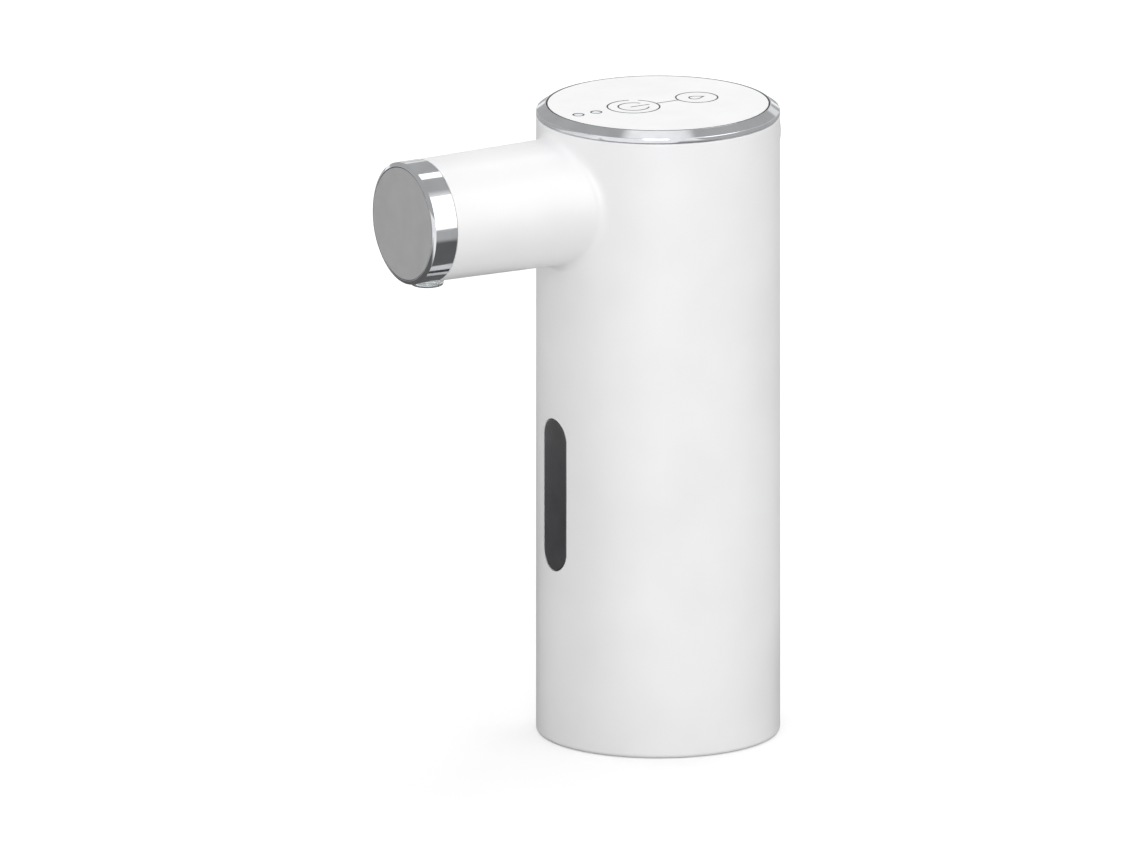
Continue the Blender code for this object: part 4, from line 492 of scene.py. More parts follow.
def turned(name, profile, steps):
    """A turned piece round the Z axis: one ring of points, extruded and scaled along a profile.

    A profile that ends where it starts becomes a closed ring, and any other gets flat ends.
    """
    radius, height = profile[0]
    bpy.ops.object.select_all(action="DESELECT")
    bpy.ops.mesh.primitive_circle_add(vertices=steps, radius=radius, location=(0.0, 0.0, height))
    piece = bpy.context.object
    piece.name = name
    lay_down(piece, (0.0, 0.0, height))
    closed = profile[0] == profile[-1]
    edit(piece)
    if not closed:
        bpy.ops.mesh.edge_face_add()
        bpy.ops.mesh.select_all(action="SELECT")
    for (near, low), (far, high) in zip(profile, profile[1:]):
        if closed:
            bpy.ops.mesh.extrude_edges_move(TRANSFORM_OT_translate={"value": (0.0, 0.0, high - low)})
        else:
            bpy.ops.mesh.extrude_region_move(TRANSFORM_OT_translate={"value": (0.0, 0.0, high - low)})
        grow = far / near
        bpy.ops.transform.resize(value=(grow, grow, 1.0), center_override=(0.0, 0.0, high))
    bpy.ops.mesh.select_all(action="SELECT")
    bpy.ops.mesh.remove_doubles(threshold=0.001 * MM)
    bpy.ops.mesh.normals_make_consistent(inside=False)
    leave_edit()
    return piece


def quarter(radius, edge_radius, height, start, end, steps):
    """Profile points round an edge's centre, which is at a radius and a height, between two angles."""
    points = []
    for i in range(steps + 1):
        turn = math.radians(start + (end - start) * i / steps)
        points.append((radius + edge_radius * math.cos(turn), height + edge_radius * math.sin(turn)))
    return points


def rows(low, high, pitch):
    """Heights between two levels at about a pitch, without the two ends."""
    count = max(1, round((high - low) / pitch))
    return [low + (high - low) * i / count for i in range(1, count)]


def facing_pill(width, height, near, far, at_height, side):
    """A tool: an upright or lying pill shape, carried outwards along Y from the column's axis."""
    radius = min(width, height) / 2
    bpy.ops.object.select_all(action="DESELECT")
    bpy.ops.mesh.primitive_circle_add(vertices=SMALL_STEPS, radius=radius, fill_type="NGON")
    tool = bpy.context.object
    stretch = Vector(((width / 2 - radius), (height / 2 - radius), 0.0))
    for point in tool.data.vertices:
        for axis in (0, 1):
            if abs(point.co[axis]) > SINK:
                point.co[axis] += math.copysign(stretch[axis], point.co[axis])
    edit(tool)
    bpy.ops.mesh.extrude_region_move(TRANSFORM_OT_translate={"value": (0.0, 0.0, far - near)})
    bpy.ops.mesh.select_all(action="SELECT")
    bpy.ops.mesh.normals_make_consistent(inside=False)
    leave_edit()
    lay_down(tool, turn=(math.pi / 2, 0.0, 0.0 if side < 0 else math.pi))
    return lay_down(tool, (0.0, AXIS_Y + side * near, at_height))


def curved_pad(name, inner, outer, tool, height):
    """The piece of a ring round the column's axis that a tool covers."""
    span = (height.y - height.x) / 2
    profile = [
        (outer, height.x - span), (outer, height.y + span),
        (inner, height.y + span), (inner, height.x - span), (outer, height.x - span)
    ]
    ring = turned(name, profile, COLUMN_STEPS)
    lay_down(ring, (0.0, AXIS_Y, 0.0))
    return carve(ring, tool, "INTERSECT")


def wrapped_pad(name, size, depths, at_height, side, edge, segments):
    """A pill-shaped pad with rounded edges, wrapped on the column between two radii."""
    (width, height), (inner, outer) = size, depths
    pad = facing_pill(width, height, inner, outer, at_height, side)
    pad.name = name
    round_edges(pad, edge, segments, 60.0)
    edit(pad)
    strip_width = 0.4 * MM
    strips = round(width / strip_width)
    for i in range(1, strips):
        bpy.ops.mesh.select_all(action="SELECT")
        bpy.ops.mesh.bisect(plane_co=(width * (i / strips - 0.5), 0.0, 0.0), plane_no=(1.0, 0.0, 0.0))
    leave_edit()
    for point in pad.data.vertices:
        depth = side * (point.co.y - AXIS_Y)
        lean = point.co.x / outer
        point.co.x = depth * lean
        point.co.y = AXIS_Y + side * depth * math.sqrt(1 - lean**2)
    return pad


def arm_radius(reach):
    slope = (ARM_ROOT_RADIUS - ARM_END_RADIUS) / (ARM_END - BODY_RADIUS)
    return ARM_ROOT_RADIUS - slope * (reach - BODY_RADIUS)


def root_curve(side, blend_steps):
    """How the arm leaves the column in one direction round it: radius and reach, point by point."""
    foot_radius = ARM_ROOT_RADIUS + ARM_BLEND
    # The arm tapers, so its radius where the blend ends is closed in on in a few rounds
    for _ in range(6):
        foot = math.sqrt(BODY_RADIUS**2 - (foot_radius * side) ** 2)
        lean = foot_radius * side**2 / foot
        corner = foot + lean * ARM_BLEND
        foot_radius = arm_radius(corner) + ARM_BLEND
    tip = corner + ARM_BLEND
    curve = []
    for step in range(blend_steps + 1):
        t = step / blend_steps
        near, middle, far = (1 - t) ** 2, 2 * t * (1 - t), t**2
        curve.append((
            near * foot_radius + middle * arm_radius(corner) + far * arm_radius(tip),
            near * (foot - SINK) + middle * corner + far * tip,
        ))
    return curve


def make_arm():
    """The arm: a ring of points, extruded row by row, with each row then laid on the arm's form."""
    blend_steps = 14
    straight = [0.25, 0.5, 0.75, 1.0]
    # The blend has one row more than its steps, and the spigot has two
    row_count = blend_steps + len(straight) + 3
    bpy.ops.object.select_all(action="DESELECT")
    bpy.ops.mesh.primitive_circle_add(vertices=ARM_STEPS, radius=ARM_ROOT_RADIUS, fill_type="NGON")
    arm = bpy.context.object
    edit(arm)
    for _ in range(row_count):
        bpy.ops.mesh.extrude_region_move(TRANSFORM_OT_translate={"value": (0.0, 0.0, MM)})
    bpy.ops.mesh.select_all(action="SELECT")
    bpy.ops.mesh.normals_make_consistent(inside=False)
    leave_edit()
    for point in arm.data.vertices:
        row = round(point.co.z / MM)
        turn = math.atan2(point.co.x, point.co.y)
        curve = root_curve(math.sin(turn), blend_steps)
        foot_radius, foot = curve[0]
        tip = curve[-1][1]
        if row == 0:
            radius, reach = foot_radius - ARM_BLEND, foot - 2 * ARM_BLEND
        elif row <= blend_steps + 1:
            radius, reach = curve[row - 1]
        elif row <= blend_steps + 1 + len(straight):
            share = straight[row - blend_steps - 2]
            reach = tip + share * (ARM_END - tip)
            radius = arm_radius(reach)
        else:
            reach = ARM_END if row < row_count else ARM_END + SPIGOT_LENGTH
            radius = SPIGOT_RADIUS
        point.co = (radius * math.sin(turn), radius * math.cos(turn), reach)
    return lay_down(arm, (0.0, AXIS_Y, ARM_HEIGHT), ALONG_ARM)


def arm_rod(radius, near, far, steps=ARM_STEPS):
    """A tool: a rod along the arm's axis, between two reaches from the column's axis."""
    rod = turned("rod", [(radius, near), (radius, far)], steps)
    return lay_down(rod, (0.0, AXIS_Y, ARM_HEIGHT), ALONG_ARM)


def upright_rod(radius, place, low, high, steps=SMALL_STEPS):
    return lay_down(turned("rod", [(radius, low), (radius, high)], steps), (*place, 0.0))


def nozzle_hole():
    low = ARM_HEIGHT - ARM_END_RADIUS - REACH_OVER
    return upright_rod(NOZZLE_RADIUS + SEAM, (0.0, AXIS_Y - NOZZLE_PLACE), low, ARM_HEIGHT)


def make_shell():
    """The moulded shell, column and arm in one, hollow, with all its openings."""
    window_middle = (window_low.z + window_high.z) / 2
    cover_middle = (cover_low.z + cover_high.z) / 2
    arm_reach = ARM_ROOT_RADIUS + 2 * ARM_BLEND
    coarse_pitch, fine_pitch = 2.5 * MM, 0.8 * MM
    base = quarter(BODY_RADIUS - BASE_EDGE, BASE_EDGE, BASE_EDGE, -90.0, 0.0, 8)
    plain = rows(BASE_EDGE, ARM_HEIGHT - arm_reach, coarse_pitch)
    fine = rows(ARM_HEIGHT - arm_reach, SHELL_TOP - TOP_EDGE, fine_pitch)
    rim = quarter(BODY_RADIUS - TOP_EDGE, TOP_EDGE, SHELL_TOP - TOP_EDGE, 0.0, 90.0, 4)
    outline = [*base, *((BODY_RADIUS, height) for height in [*plain, *fine]), *rim]
    shell = turned("housing_shell", outline, COLUMN_STEPS)
    lay_down(shell, (0.0, AXIS_Y, 0.0))
    carve(shell, make_arm(), "UNION")
    inner = BODY_RADIUS - BODY_WALL
    cavity = turned("cavity", [(inner, -REACH_OVER), (inner, SHELL_TOP + REACH_OVER)], COLUMN_STEPS)
    carve(shell, lay_down(cavity, (0.0, AXIS_Y, 0.0)))
    carve(shell, arm_rod(ARM_BORE_RADIUS, 0.0, ARM_END + SPIGOT_LENGTH + REACH_OVER))
    far = BODY_RADIUS + REACH_OVER
    carve(shell, facing_pill(
        WINDOW_WIDTH + 2 * SEAM, WINDOW_HEIGHT + 2 * SEAM, inner - REACH_OVER, far, window_middle, -1
    ))
    carve(shell, facing_pill(
        SOCKET_HOLE_WIDTH, SOCKET_HOLE_HEIGHT, inner - REACH_OVER, far, cover_middle, 1
    ))
    pocket = facing_pill(COVER_WIDTH + 2 * SEAM, COVER_HEIGHT + 2 * SEAM, 0.0, far, cover_middle, 1)
    carve(shell, curved_pad(
        "pocket", BODY_RADIUS - COVER_RECESS, far, pocket, Vector((cover_low.z, cover_high.z))
    ))
    anchor_low, anchor_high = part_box("port_cover_anchor")
    anchor_middle = cover_low.z - ANCHOR_HEIGHT / 2
    tab = facing_pill(ANCHOR_WIDTH + 2 * SEAM, ANCHOR_HEIGHT + 2 * SEAM, 0.0, far, anchor_middle, 1)
    carve(shell, curved_pad(
        "tab_pocket", BODY_RADIUS - COVER_RECESS, far, tab, Vector((anchor_low.z, anchor_high.z))
    ))
    carve(shell, nozzle_hole())
    edit(shell)
    # The cuts leave points that nearly touch and slivers of faces
    bpy.ops.mesh.remove_doubles(threshold=0.004 * MM)
    bpy.ops.mesh.dissolve_degenerate(threshold=0.002 * MM)
    leave_edit()
    return smooth_by_area(shell, 32.0, 80)


def make_bezel():
    """The chromed ring that caps the shell: a bevelled top over an upright band, and its spigot."""
    top, flat_top_width, edge_width = bezel_high.z, 0.15 * MM, 0.09 * MM
    band_low = SHELL_TOP + SEAM
    shoulder = band_low + BEZEL_BAND
    shelf = panel_low.z - SEAM
    spigot_bore = BEZEL_SPIGOT_RADIUS - BEZEL_SPIGOT_WALL
    profile = [
        (BEZEL_BORE_RADIUS, top), (BEZEL_BORE_RADIUS + flat_top_width, top),
        (BODY_RADIUS, shoulder), (BODY_RADIUS, band_low),
        (BEZEL_SPIGOT_RADIUS, band_low), (BEZEL_SPIGOT_RADIUS, bezel_low.z),
        (spigot_bore, bezel_low.z), (spigot_bore, shelf), (BEZEL_BORE_RADIUS, shelf),
        (BEZEL_BORE_RADIUS, top)
    ]
    bezel = lay_down(turned("bezel_ring", profile, COLUMN_STEPS), (0.0, AXIS_Y, 0.0))
    round_edges(bezel, edge_width, 3)
    return smooth_by_area(bezel)


def make_gap_shade():
    """A dark grey ring laid in the gap between the panel and its ring: painted shade that stands for the
    shadow in that gap.
    """
    room, drop, thickness = 0.02 * MM, 0.03 * MM, 0.6 * MM
    inner, outer = PANEL_RADIUS + room, BEZEL_BORE_RADIUS - room
    high = TOP - drop
    low = high - thickness
    profile = [(outer, low), (outer, high), (inner, high), (inner, low), (outer, low)]
    return smooth(lay_down(turned("panel_gap_shade", profile, COLUMN_STEPS), (0.0, AXIS_Y, 0.0)))


def make_panel():
    """The touch panel, with a rounded rim and two holes for the indicator lenses."""
    edge_width = 0.06 * MM
    profile = [(PANEL_RADIUS, panel_low.z), (PANEL_RADIUS, TOP)]
    panel = lay_down(turned("touch_plate", profile, COLUMN_STEPS), (0.0, AXIS_Y, 0.0))
    for place in LENS_PLACES:
        carve(panel, upright_rod(
            LENS_RADIUS + SEAM, (0.0, AXIS_Y - place), panel_low.z - REACH_OVER, TOP + REACH_OVER
        ))
    round_edges(panel, edge_width, 3)
    return smooth_by_area(panel)


def make_lens(name, node, place):
    """A light guide: a short rod with a shallow domed end and a flange under the panel."""
    low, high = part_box(node)
    flange_top = panel_low.z - GAP
    dome_drop, edge_drop = 0.02 * LENS_RADIUS, 0.05 * MM
    dome = [(LENS_RADIUS * share, high.z - dome_drop * share**2) for share in (0.4, 0.7, 0.9)]
    profile = [
        (0.15 * LENS_RADIUS, high.z), *dome, (LENS_RADIUS, high.z - edge_drop),
        (LENS_RADIUS, flange_top), (LENS_FLANGE_RADIUS, flange_top), (LENS_FLANGE_RADIUS, low.z)
    ]
    return smooth(lay_down(turned(name, profile, SMALL_STEPS), (0.0, AXIS_Y - place, 0.0)))


def printed_ring(name, place, radius, gap_at=0.0, gap=0.0):
    """A printed ring round a place on the panel's middle line, with a gap at an angle if asked."""
    inner, outer = radius - INK_WIDTH / 2, radius + INK_WIDTH / 2
    bpy.ops.object.select_all(action="DESELECT")
    bpy.ops.mesh.primitive_circle_add(vertices=COLUMN_STEPS, radius=inner)
    ring = bpy.context.object
    ring.name = name
    edit(ring)
    bpy.ops.mesh.extrude_edges_move(TRANSFORM_OT_translate={"value": (0.0, 0.0, 0.0)})
    grow = outer / inner
    bpy.ops.transform.resize(value=(grow, grow, 1.0), center_override=(0.0, 0.0, 0.0))
    bpy.ops.mesh.select_all(action="DESELECT")
    leave_edit()
    if gap:
        for face in ring.data.polygons:
            turn = math.degrees(math.atan2(face.center.y, face.center.x))
            away = abs((turn - gap_at + 180.0) % 360.0 - 180.0)
            face.select = away < gap / 2
        wake(ring)
        bpy.ops.object.mode_set(mode="EDIT")
        bpy.ops.mesh.delete(type="FACE")
        leave_edit()
    return print_on_panel(ring, (0.0, AXIS_Y - place))


def printed_bar(name, near, far):
    """A printed bar along the panel's middle line, between two places, with round ends."""
    bpy.ops.object.select_all(action="DESELECT")
    bpy.ops.mesh.primitive_circle_add(vertices=24, radius=INK_WIDTH / 2, fill_type="NGON")
    bar = bpy.context.object
    bar.name = name
    for point in bar.data.vertices:
        point.co.y += -near if point.co.y < 0 else -far
    return print_on_panel(bar, (0.0, AXIS_Y))


def print_on_panel(shape, place):
    """Gives a flat shape the thickness of dried ink and lays it on the panel."""
    edit(shape)
    bpy.ops.mesh.normals_make_consistent(inside=False)
    bpy.ops.mesh.extrude_region_move(
        TRANSFORM_OT_translate={"value": (0.0, 0.0, INK_THICKNESS + INK_LOW)}
    )
    bpy.ops.mesh.select_all(action="SELECT")
    bpy.ops.mesh.normals_make_consistent(inside=False)
    leave_edit()
    return smooth(lay_down(shape, (*place, TOP - INK_LOW)), 20.0)


def printed_drop(place, radius):
    """A drop in outline on the second key: a circle drawn out to a point."""
    bpy.ops.object.select_all(action="DESELECT")
    bpy.ops.mesh.primitive_circle_add(vertices=96, radius=radius, fill_type="NGON")
    drop = bpy.context.object
    drop.name = "drop_symbol"
    edit(drop)
    bpy.ops.mesh.inset(thickness=INK_WIDTH)
    bpy.ops.mesh.delete(type="FACE")
    leave_edit()
    for point in drop.data.vertices:
        rise = point.co.y / radius
        if rise > 0:
            point.co.x *= (1 - rise) ** 0.5 * (1 + rise) ** 0.1
            point.co.y *= 1 + 0.75 * rise
    return print_on_panel(drop, (0.0, AXIS_Y - place))


def make_print():
    """All that is printed on the panel: rings round both lenses and keys, the line and the symbols."""
    power_radius, symbol_radius, mode_radius, drop_radius = 4.95 * MM, 2.9 * MM, 3.96 * MM, 1.25 * MM
    bar_out, bar_in, drop_out = 0.5 * MM, 3.4 * MM, 0.4 * MM
    return [
        printed_ring("lens_ring_front", LENS_PLACES[0], LENS_RADIUS + SEAM / 2),
        printed_ring("lens_ring_rear", LENS_PLACES[1], LENS_RADIUS + SEAM / 2),
        printed_ring("power_key_ring", POWER_KEY_PLACE, power_radius, 149.0, 20.0),
        printed_ring("power_symbol_ring", POWER_KEY_PLACE, symbol_radius, 90.0, 64.0),
        printed_bar("power_symbol_bar", POWER_KEY_PLACE + bar_out, POWER_KEY_PLACE - bar_in),
        printed_bar("key_link_line", POWER_KEY_PLACE - power_radius, MODE_KEY_PLACE + mode_radius),
        printed_ring("mode_key_ring", MODE_KEY_PLACE, mode_radius),
        printed_drop(MODE_KEY_PLACE + drop_out, drop_radius),
    ]


def make_window():
    """The smoked window: a curved pill-shaped pane with softened edges."""
    drawn_out, edge_width = 0.2 * MM, 0.25 * MM
    inner = BODY_RADIUS - BODY_WALL + drawn_out
    return smooth_by_area(wrapped_pad(
        "window_pane", (WINDOW_WIDTH, WINDOW_HEIGHT), (inner, BODY_RADIUS),
        (window_low.z + window_high.z) / 2, -1, edge_width, 4
    ))


def make_trim_ring():
    """The chromed ring on the arm's end, chamfered towards the cap."""
    face_radius, back, edge_width = ARM_END_RADIUS - TRIM_CHAMFER_DEPTH, ARM_END + SEAM, 0.04 * MM
    profile = [
        (face_radius, SPOUT_FACE), (ARM_END_RADIUS, SPOUT_FACE - TRIM_CHAMFER_LENGTH),
        (ARM_END_RADIUS, back), (TRIM_BORE_RADIUS, back), (TRIM_BORE_RADIUS, SPOUT_FACE),
        (face_radius, SPOUT_FACE)
    ]
    ring = turned("trim_ring", profile, ARM_STEPS)
    lay_down(ring, (0.0, AXIS_Y, ARM_HEIGHT), ALONG_ARM)
    carve(ring, nozzle_hole())
    round_edges(ring, edge_width)
    return smooth_by_area(ring)


def make_cap():
    """The grey disc that closes the spout, with a softened rim and the skirt that plugs it in."""
    skirt, edge_width = ARM_BORE_RADIUS - GAP, 0.12 * MM
    skirt_bore = skirt - CAP_SKIRT_WALL
    back = SPOUT_FACE - CAP_THICKNESS
    skirt_end = back - CAP_SKIRT_LENGTH
    profile = [(CAP_RADIUS, SPOUT_FACE), (CAP_RADIUS, back), (skirt, back), (skirt, skirt_end)]
    cap = turned("cap_disc", profile, ARM_STEPS)
    hollow = [(skirt_bore, skirt_end - REACH_OVER), (skirt_bore, back)]
    carve(cap, turned("hollow", hollow, ARM_STEPS))
    lay_down(cap, (0.0, AXIS_Y, ARM_HEIGHT), ALONG_ARM)
    # The skirt is open at the bottom, where the nozzle's collar comes up
    width, depth, height = 8.6 * MM, 3.6 * MM, 12.0 * MM
    bpy.ops.object.select_all(action="DESELECT")
    bpy.ops.mesh.primitive_cube_add(size=1.0)
    notch = bpy.context.object
    notch.dimensions = (width, depth, height)
    lay_down(notch, (0.0, AXIS_Y - back + depth / 2, ARM_HEIGHT - height / 2))
    carve(cap, notch)
    round_edges(cap, edge_width, 3)
    return smooth_by_area(cap)


def make_nozzle():
    """The clear outlet: an upright tube with a collar over its hole and a rounded lip."""
    edge = (NOZZLE_RADIUS - NOZZLE_BORE_RADIUS) / 2
    top, inlet_radius = nozzle_high.z, 0.6 * MM
    collar_low = ARM_HEIGHT - math.sqrt(ARM_BORE_RADIUS**2 - NOZZLE_COLLAR_RADIUS**2) + GAP
    collar_high = collar_low + NOZZLE_COLLAR_HEIGHT
    lip = quarter(NOZZLE_RADIUS - edge, edge, nozzle_low.z + edge, -180.0, 0.0, 12)
    profile = [
        (NOZZLE_RADIUS, collar_low), (NOZZLE_COLLAR_RADIUS, collar_low),
        (NOZZLE_COLLAR_RADIUS, collar_high), (NOZZLE_RADIUS, collar_high),
        (NOZZLE_RADIUS, top - edge), (NOZZLE_RADIUS - edge, top),
        (inlet_radius, top), (inlet_radius, top - edge),
        (NOZZLE_BORE_RADIUS, top - 2 * edge), *lip, (NOZZLE_RADIUS, collar_low)
    ]
    nozzle = turned("outlet_tube", profile, SMALL_STEPS)
    return smooth(lay_down(nozzle, (0.0, AXIS_Y - NOZZLE_PLACE, 0.0)))


def make_cover():
    """The soft cover of the charging port: a curved pad with rounded edges and a locating lug."""
    middle = (cover_low.z + cover_high.z) / 2
    inner = BODY_RADIUS - COVER_RECESS + GAP
    edge_width, lug_edge_width = 0.45 * MM, 0.2 * MM
    cover = wrapped_pad(
        "cover_pad", (COVER_WIDTH, COVER_HEIGHT), (inner, COVER_RADIUS), middle, 1, edge_width, 6
    )
    lug = facing_pill(
        COVER_LUG_WIDTH, COVER_LUG_HEIGHT, cover_low.y - AXIS_Y, inner + SOFT_SINK, middle, 1
    )
    round_edges(lug, lug_edge_width, 2, 60.0)
    carve(cover, lug, "UNION")
    return smooth_by_area(cover, 40.0)


def make_anchor():
    """The tab under the cover, and the mushroom stem that holds it to the shell."""
    inner = BODY_RADIUS - COVER_RECESS + GAP
    middle = cover_low.z - ANCHOR_HEIGHT / 2
    edge_width, tip_radius = 0.2 * MM, 0.4 * MM
    anchor = wrapped_pad(
        "anchor_tab", (ANCHOR_WIDTH, ANCHOR_HEIGHT - GAP), (inner, BODY_RADIUS), middle - GAP / 2, 1,
        edge_width, 3
    )
    head_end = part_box("port_cover_anchor")[0].y - AXIS_Y
    head_low = BODY_RADIUS - BODY_WALL - GAP
    profile = [
        (tip_radius, head_end), (ANCHOR_STEM_RADIUS, head_end), (ANCHOR_HEAD_RADIUS, head_low),
        (ANCHOR_STEM_RADIUS, head_low), (ANCHOR_STEM_RADIUS, inner + SOFT_SINK)
    ]
    stem = lay_down(turned("stem", profile, 32), (0.0, AXIS_Y, middle), (-math.pi / 2, 0.0, 0.0))
    return smooth(carve(anchor, stem, "UNION"), 40.0)


def make_stopper():
    """The soft bung: a flange over four swelling ribs that grow smaller towards its foot."""
    top, foot = stopper_high.z, stopper_low.z
    seat = top - STOPPER_FLANGE_HEIGHT
    pitch = (seat - foot) / (STOPPER_RIBS + 1)
    ribs = []
    for i in range(STOPPER_RIBS):
        middle = seat - pitch * (i + 1)
        drawn_in = STOPPER_TAPER * i / (STOPPER_RIBS - 1)
        for share in (1.0, 0.72, 0.45, 0.2, 0.0, -0.2, -0.45, -0.72, -1.0):
            swell = (STOPPER_RIB_RADIUS - STOPPER_NECK_RADIUS) * (
                0.5 + 0.5 * math.cos(math.pi * share)
            ) ** 0.7
            ribs.append((STOPPER_NECK_RADIUS - drawn_in + swell, middle + share * pitch / 4))
    # Room for the rigid core and its flange
    bore, recess, recess_low = 5.3 * MM, 10.3 * MM, top - 2.1 * MM
    flange, edge_width = (stopper_high.x - stopper_low.x) / 2, 0.3 * MM
    profile = [
        (flange, top), (flange, seat), (STOPPER_NECK_RADIUS, seat), *ribs,
        (STOPPER_NECK_RADIUS - STOPPER_TAPER, foot), (bore, foot), (bore, recess_low),
        (recess, recess_low), (recess, top), (flange, top)
    ]
    stopper = lay_down(turned("ribbed_bung", profile, 96), (0.0, AXIS_Y, 0.0))
    return smooth(round_edges(stopper, edge_width, 3, 60.0), 50.0)


def dress(piece, finish, slot, body, *nodes):
    """Gives a piece its finish and its body, and hides the nodes it stands for. The slot is not used."""
    piece.data.materials.clear()
    piece.data.materials.append(finish)
    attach(piece, body)
    if nodes:
        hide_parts(*nodes)


dress(make_shell(), WHITE_ABS, "white_shell", "body", "body_housing")
dress(make_bezel(), CHROME, "bright_ring", "body", "top_bezel_ring")
dress(make_panel(), ACRYLIC, "white_panel", "body", "touch_panel")
# The dark ring in the panel's gap is painted shade
dress(make_gap_shade(), GAP_SHADE, "black_rubber", "body")
for end, lens_place in zip(("front", "rear"), LENS_PLACES):
    node_name = f"led_lens_{end}"
    dress(make_lens(f"light_guide_{end}", node_name, lens_place), LENS, "lens_plastic", "body", node_name)
for printed in make_print():
    dress(printed, INK, "white_panel", "body")
dress(make_window(), SMOKED, "smoked_window", "body", "side_window")
dress(make_trim_ring(), CHROME, "bright_ring", "body", "spout_trim_ring")
dress(make_cap(), CAP_GREY, "grey_cap", "body", "spout_end_cap")
dress(make_nozzle(), CLEAR, "clear_plastic", "body", "outlet_nozzle")
dress(make_cover(), WHITE_SILICONE, "white_silicone", "cover", "port_cover")
dress(make_anchor(), WHITE_SILICONE, "white_silicone", "body", "port_cover_anchor")
dress(make_stopper(), GREY_SILICONE, "grey_silicone", "body", "stopper")

FINISHES = {
    NATURAL: ["stopper_core", "bulkhead", "chassis", "spout_elbow", "pump_valve_plate", "pump_eccentric"],
    NYLON: ["motor_end_cap", "pump_base", "pump_head", "pump_wobble_plate"],
    RUBBER: ["pump_diaphragm", "air_hose"],
    STEEL: [
        "bulkhead_screw_1", "bulkhead_screw_2", "bulkhead_screw_3", "motor_can", "motor_rotor",
        "motor_shaft", "pump_drive_pin", "usb_socket", "touch_spring_power", "touch_spring_mode"
    ],
    FERRITE: ["motor_magnet_ring"],
    SLEEVE: ["battery_cell"],
    RESIST: ["main_board"],
    HOSE: ["riser_hose", "spout_hose"],
    LENS: ["indicator_led_front", "indicator_led_rear"],
    RED_SHEATH: ["battery_lead_plus", "motor_lead_plus"],
    BLACK_SHEATH: ["battery_lead_minus", "motor_lead_minus"],
}
for finish, names in FINISHES.items():
    for node_name in names:
        for material_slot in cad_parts[node_name].material_slots:
            material_slot.material = finish


# How strongly the world lights the object, and the floor glows near it for the camera
WORLD_LIGHT = 0.56
FLOOR_GLOW = 0.5

# How bright the stage is in shiny pieces: the mat round the object, the paper past it, the walls
# and the window behind
MAT_LEVEL = 0.12
PAPER_LEVEL = 0.45
WALL_LEVEL = 0.44
WINDOW_LEVEL = 0.85

WHITE = (1.0, 1.0, 1.0, 1.0)


def make_floor():
    """A wide white floor.

    The camera and clear plastic see it as white. Shiny pieces see what a photographer lays out to
    give them shape: a dark mat, open to the front right, and grey paper behind it and to its left.
    """
    bpy.ops.object.select_all(action="DESELECT")
    bpy.ops.mesh.primitive_plane_add(size=12.0, location=(0.0, 0.0, 0.0))
    floor = bpy.context.object
    floor.name = "studio_floor"
    paper = bpy.data.materials.new("white_studio_paper")
    paper.use_nodes = True
    tree = paper.node_tree
    shader = tree.nodes["Principled BSDF"]
    shader.inputs["Base Color"].default_value = linear("#BFBFBF")
    shader.inputs["Roughness"].default_value = 0.9
    shader.inputs["Specular IOR Level"].default_value = 0.1
    rays = add_node(tree, "ShaderNodeLightPath")
    place = add_node(tree, "ShaderNodeTexCoord").outputs["Object"]
    reach = add_node(tree, "ShaderNodeVectorMath", {0: place}, operation="LENGTH").outputs["Value"]
    seen = add_node(
        tree, "ShaderNodeMath",
        {0: rays.outputs["Is Camera Ray"], 1: rays.outputs["Is Transmission Ray"]}, operation="MAXIMUM"
    )
    # Where the lamps' light falls off with distance the paper's own glow takes over
    glow = add_node(
        tree, "ShaderNodeMapRange",
        {"Value": reach, "From Min": 0.1, "From Max": 0.8, "To Min": FLOOR_GLOW, "To Max": 0.8}
    )
    plain_glow = add_node(
        tree, "ShaderNodeMath", {0: seen.outputs[0], 1: glow.outputs["Result"]}, operation="MULTIPLY"
    )
    tree.links.new(plain_glow.outputs[0], shader.inputs["Emission Strength"])
    shader.inputs["Emission Color"].default_value = WHITE
    mat = add_node(
        tree, "ShaderNodeMapRange",
        {"Value": reach, "From Min": 0.2, "From Max": 0.45, "To Min": MAT_LEVEL, "To Max": 1.0}
    )
    axes = add_node(tree, "ShaderNodeSeparateXYZ", {0: place})
    # The right, front, back and left of the floor: where each fades in, and from where it is full
    right, front, back, left = (
        add_node(
            tree, "ShaderNodeMapRange", {"Value": axes.outputs[axis], "From Min": begin, "From Max": full}
        ).outputs["Result"]
        for axis, begin, full in (
            ("X", 0.0, 0.04), ("Y", -0.02, -0.06), ("Y", 0.08, 0.12), ("X", -0.25, -0.35)
        )
    )
    open_corner = add_node(tree, "ShaderNodeMath", {0: right, 1: front}, operation="MINIMUM")
    near_level = add_node(
        tree, "ShaderNodeMath", {0: mat.outputs["Result"], 1: open_corner.outputs[0]},
        operation="MAXIMUM"
    )
    far = add_node(tree, "ShaderNodeMath", {0: back, 1: left}, operation="MAXIMUM")
    mirror_level = add_node(
        tree, "ShaderNodeMix", {0: far.outputs[0], 2: near_level.outputs[0], 3: PAPER_LEVEL}
    )
    mirrored = add_node(tree, "ShaderNodeEmission", {"Strength": mirror_level.outputs[0]})
    surface = add_node(
        tree, "ShaderNodeMixShader",
        {0: rays.outputs["Is Glossy Ray"], 1: shader.outputs[0], 2: mirrored.outputs[0]}
    )
    tree.links.new(surface.outputs[0], tree.nodes["Material Output"].inputs["Surface"])
    floor.data.materials.append(paper)


